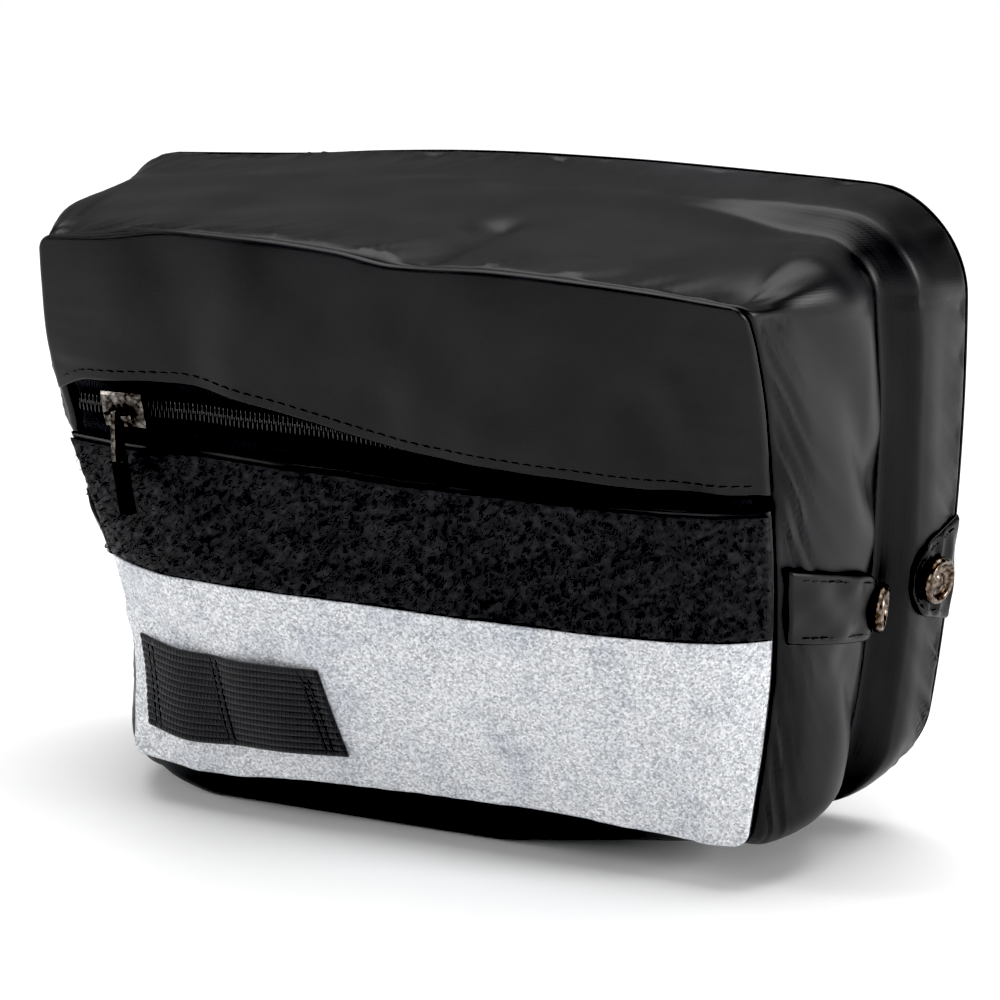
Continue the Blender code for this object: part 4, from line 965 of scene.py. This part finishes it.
def softened(node, name, width):
    """A rounded copy of a hard CAD solid: its edges are bevelled and the copy stands for the node."""
    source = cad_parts[node]
    piece = bpy.data.objects.new(name, source.data.copy())
    piece.matrix_world = source.matrix_world.copy()
    bpy.context.collection.objects.link(piece)
    work = bmesh.new()
    work.from_mesh(piece.data)
    bmesh.ops.remove_doubles(work, verts=work.verts, dist=1e-6)
    bmesh.ops.dissolve_limit(work, angle_limit=math.radians(2), verts=work.verts, edges=work.edges)
    work.to_mesh(piece.data)
    work.free()
    piece.data.shade_smooth()
    bevel = piece.modifiers.new("rounding", "BEVEL")
    bevel.width, bevel.segments = width, 3
    bevel.limit_method, bevel.angle_limit = "ANGLE", math.radians(30)
    piece.data.materials.clear()
    return piece


for node, width in (("zip_slider", 0.00035), ("zip_pull_tab", 0.00025)):
    piece = softened(node, f"{node}_casting", width)
    piece.data.materials.append(gunmetal)
    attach(piece, "root")
    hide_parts(node)

# The link is a short braided cord loop that hangs from the pull, heat-sealed so that it stays straight.
link = softened("zip_pull_link", "zip_pull_cord", 0.0003)
link.data.materials.append(tape_black)
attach(link, "root")
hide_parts("zip_pull_link")

# The side tabs are double tarpaulin, cut with a round end and edge-stitched. The front pair is caught in the
# front seam and the back pair in the back seam, and each carries one half of a snap that folds the bellows.
TAB_THICKNESS, TAB_END_ROUND, TAB_TIP, TAB_ROLL = 0.0015, 0.35, 0.97, 0.0006
SNAP_RADIUS, SNAP_RISE = 0.00675, 0.0032
Tab = namedtuple("Tab", "name start end start_rise end_rise start_height end_height snap_depth")
TABS = [
    Tab("front", 0.03, 0.61, 0.069, 0.058, 0.022, 0.018, 0.50),
    Tab("back", 0.985, 0.735, 0.063, 0.063, 0.029, 0.019, 0.82),
]
TAB_STITCH_INSET = 0.0022


def side_points(side, height, depth):
    """The gusset's face at mid side, and its outward directions."""
    turn = np.full(np.broadcast(height, depth).shape, 0.0 if side > 0 else math.pi)
    edge = np.full(turn.shape, float(side))
    step = 0.02

    def at(h, d):
        return gusset_skin(edge, h + 0 * turn, turn, d + 0 * turn)

    deeper = at(height, depth + step) - at(height, depth - step)
    out = np.cross(deeper, at(height + step, depth) - at(height - step, depth))
    return at(height, depth), out / np.linalg.norm(out, axis=-1, keepdims=True) * side


def tab_points(tab, side, share, level, lift, inset=0.0):
    """A tab's face at a share along and a level across from -1 to 1, with its round end."""
    round_share = np.clip((share - (1 - TAB_END_ROUND)) / TAB_END_ROUND, 0, 1)
    tall = lerp(tab.start_height, tab.end_height, share) * np.sqrt(1 - (TAB_TIP * round_share) ** 2) - 2 * inset
    height = (lerp(tab.start_rise, tab.end_rise, share) + level * tall / 2) / FRONT_HEIGHT
    points, out = side_points(side, height, lerp(tab.start, tab.end, share))
    return points + out * np.asarray(lift)[..., None], out


def snap_mesh(name, spot, out):
    """A turned cap: a foot, a rolled rim and a dished middle with a small boss."""
    profile = [
        (0.0, 0.0), (0.80, 0.0), (0.90, 0.06), (0.97, 0.2), (1.0, 0.45), (0.98, 0.7), (0.93, 0.9), (0.86, 1.0),
        (0.78, 0.98), (0.71, 0.86), (0.66, 0.68), (0.58, 0.6), (0.46, 0.56), (0.36, 0.56), (0.29, 0.62),
        (0.22, 0.74), (0.12, 0.80), (0.0, 0.82),
    ]
    work = bmesh.new()
    verts = [work.verts.new((share * SNAP_RADIUS, 0, rise * SNAP_RISE)) for share, rise in profile]
    for a, b in zip(verts, verts[1:]):
        work.edges.new((a, b))
    bmesh.ops.spin(work, geom=work.verts[:] + work.edges[:], axis=(0, 0, 1), cent=(0, 0, 0), steps=56,
                   angle=2 * math.pi, use_merge=True)
    bmesh.ops.remove_doubles(work, verts=work.verts, dist=1e-6)
    bmesh.ops.recalc_face_normals(work, faces=work.faces)
    mesh = bpy.data.meshes.new(name)
    work.to_mesh(mesh)
    work.free()
    tilt = Vector((0, 0, 1)).rotation_difference(Vector(out)).to_matrix().to_4x4()
    mesh.transform(Matrix.Translation(Vector(spot)) @ tilt)
    return place_mesh(name, mesh)


snap_metal = gunmetal_plate("gunmetal_plated_brass_cap", CAP_METAL, CAP_WORN, 0.24)
for side, side_name in ((1, "right"), (-1, "left")):
    for tab in TABS:
        share = np.sin(math.pi / 2 * np.linspace(0, 1, 61))[None, :]
        level = np.linspace(-1, 1, 31)[:, None]
        share, level = np.broadcast_arrays(share, level)
        edge = (1 - abs(level)) * lerp(tab.start_height, tab.end_height, share) / 2
        edge = np.minimum(edge, (1 - share) * 0.03)
        sway = 0.00025 * ripple(share * 0.04, level * 0.01, 0.012, 71 + side)
        lift = GAP + TAB_THICKNESS - edge_roll(edge, TAB_ROLL) + sway * smooth(edge / 0.003)
        outer, _ = tab_points(tab, side, share, level, lift)
        inner, _ = tab_points(tab, side, share, level, GAP + 0 * lift)
        piece = sheet_mesh(f"{tab.name}_tab_{side_name}_cloth", outer, inner, outer[..., [1, 2]])
        piece.data.materials.append(tarpaulin_black)
        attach(piece, "root")
        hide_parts(f"{tab.name}_tab_{side_name}")
        along = np.concatenate((np.linspace(0.04, 0.93, 60), np.full(20, 0.93), np.linspace(0.93, 0.04, 60)))
        rises = np.concatenate((np.full(60, 1.0), np.linspace(1, -1, 20), np.full(60, -1.0)))
        line, outs = tab_points(tab, side, along, rises, np.full(140, GAP + TAB_THICKNESS), TAB_STITCH_INSET)
        seam = thread_stitches(f"{tab.name}_tab_{side_name}_stitches", *stitch_path(line, outs))
        seam.data.materials.append(thread_black)
        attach(seam, "root")
        place = (tab.snap_depth - tab.start) / (tab.end - tab.start)
        rise = lerp(tab.start_rise, tab.end_rise, place) / FRONT_HEIGHT
        spot, out = side_points(side, np.array(rise), np.array(tab.snap_depth))
        cap = snap_mesh(f"{tab.name}_snap_{side_name}_cap", spot + out * (2 * GAP + TAB_THICKNESS), out)
        cap.data.materials.append(snap_metal)
        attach(cap, "root")
        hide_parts(f"{tab.name}_snap_{side_name}")

# The belt tunnel is a plain sleeve of flat webbing on the hidden back, sewn down above and below the belt
# and open at both ends.
TUNNEL_WIDTH, TUNNEL_BELT, TUNNEL_CLEAR, TUNNEL_HEM = 0.190, 0.050, 0.0060, 0.008
TUNNEL_CENTRE, TUNNEL_ROUND = 0.098, 0.006
face = BACK_PLANE + BACK_DOME + CLOTH + GAP
clear = TUNNEL_BELT / 2 + TUNNEL_ROUND
rise = np.linspace(-(clear + TUNNEL_HEM), clear + TUNNEL_HEM, 121)[:, None]
along = np.linspace(-TUNNEL_WIDTH / 2, TUNNEL_WIDTH / 2, 161)[None, :]
bulge = TUNNEL_CLEAR * smooth((clear - abs(rise)) / TUNNEL_ROUND)
wave = 0.0004 * ripple(along, rise, 0.030, 81) * smooth((clear - abs(rise)) / 0.01)
x, z = np.broadcast_arrays(along, TUNNEL_CENTRE + rise)
under = face + bulge + 0 * along
outer = np.stack((x, under + CLOTH + wave, z), axis=-1)
tunnel = sheet_mesh("belt_tunnel_webbing", outer, np.stack((x, under, z), axis=-1), outer[..., [0, 2]])
tunnel.data.materials.append(webbing_black)
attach(tunnel, "root")
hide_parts("belt_tunnel")
lines = []
for sign in (-1, 1):
    for inset in (0.002, 0.006):
        z = TUNNEL_CENTRE + sign * (clear + TUNNEL_HEM - inset)
        line = np.array([(x, face + CLOTH, z) for x in np.linspace(-0.093, 0.093, 80)])
        lines.append(stitch_path(line, np.tile((0.0, 1.0, 0.0), (80, 1))))
seams = thread_stitches("belt_tunnel_stitches", *(np.concatenate(part) for part in zip(*lines)))
seams.data.materials.append(thread_black)
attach(seams, "root")

# The stage: a pale matt floor under soft studio lights, seen from the photograph's angle.
FLOOR_SIZE, FLOOR_WHITE = 9.0, "f6f6f6"
VIEW_TURN, VIEW_RISE, VIEW_DISTANCE = math.radians(24.4), math.radians(16.3), 1.2
PHOTO_FOCAL, PHOTO_SIZE = 4320.0, 1000.0
AIM_PIXEL, AIM_POINT = (472.0, 496.0), Vector((0.0, 0.0075, 0.094))
SENSOR = 36.0
work = bmesh.new()
bmesh.ops.create_grid(work, x_segments=1, y_segments=1, size=FLOOR_SIZE / 2)
mesh = bpy.data.meshes.new("floor")
work.to_mesh(mesh)
work.free()
floor = bpy.data.objects.new("floor", mesh)
floor.location.z = -0.0005
bpy.context.collection.objects.link(floor)
# Matt emulsion-painted board: near white, with a faint roller texture.
paint, shader = new_material("matt_white_painted_board", Base_Color=colour(FLOOR_WHITE), Roughness=0.9,
                             Specular_IOR_Level=0.1)
place = add_node(paint, "ShaderNodeTexCoord")
roller = add_node(paint, "ShaderNodeTexNoise", [("Vector", place, "Object")], Scale=600.0, Detail=2.0)
bump = add_node(paint, "ShaderNodeBump", [("Height", roller, "Fac")], Strength=0.05, Distance=0.0002)
wire(paint, bump, "Normal", shader, "Normal")
floor.data.materials.append(paint)

Light = namedtuple("Light", "name place aim size energy")
LIGHTS = [
    Light("overhead_softbox", (0.0, 0.3, 2.2), (0, 0, 0), 2.4, 66),
    Light("right_strip", (1.6, 0.1, 0.55), (0.1, 0, 0.09), 0.4, 14),
    Light("left_strip", (-1.3, -0.7, 0.75), (0, 0, 0.1), 0.4, 8),
    Light("front_fill", (0.5, -2.0, 0.9), (0, 0, 0.05), 0.9, 10),
]
for light in LIGHTS:
    lamp = bpy.data.lights.new(light.name, "AREA")
    lamp.size, lamp.energy = light.size, light.energy
    holder = bpy.data.objects.new(light.name, lamp)
    holder.location = light.place
    holder.rotation_euler = (Vector(light.aim) - Vector(light.place)).to_track_quat("-Z", "Y").to_euler()
    bpy.context.collection.objects.link(holder)
world = bpy.data.worlds.new("studio_air")
bpy.context.scene.world = world
world.use_nodes = True
world.node_tree.nodes["Background"].inputs["Color"].default_value = colour("ffffff")
world.node_tree.nodes["Background"].inputs["Strength"].default_value = 0.25

camera = bpy.data.objects.new("camera", bpy.data.cameras.new("camera"))
bpy.context.collection.objects.link(camera)
camera.data.sensor_width = SENSOR
camera.data.lens = PHOTO_FOCAL / PHOTO_SIZE * SENSOR
camera.data.shift_x = (PHOTO_SIZE / 2 - AIM_PIXEL[0]) / PHOTO_SIZE
camera.data.shift_y = (AIM_PIXEL[1] - PHOTO_SIZE / 2) / PHOTO_SIZE
back = Vector((math.sin(VIEW_TURN) * math.cos(VIEW_RISE), -math.cos(VIEW_TURN) * math.cos(VIEW_RISE),
               math.sin(VIEW_RISE)))
right = Vector((math.cos(VIEW_TURN), math.sin(VIEW_TURN), 0))
facing = Matrix((right, back.cross(right), back)).transposed().to_4x4()
camera.matrix_world = Matrix.Translation(AIM_POINT + back * VIEW_DISTANCE) @ facing
bpy.context.scene.camera = camera
# A studio tone curve: white paper clips and the deepest cloth goes fully black, as in the photograph.
BLACK_POINT = 0.024
tone = bpy.context.scene.view_settings
tone.view_transform = "Standard"
tone.use_curve_mapping = True
tone.curve_mapping.black_level = (BLACK_POINT, BLACK_POINT, BLACK_POINT)
tone.curve_mapping.update()
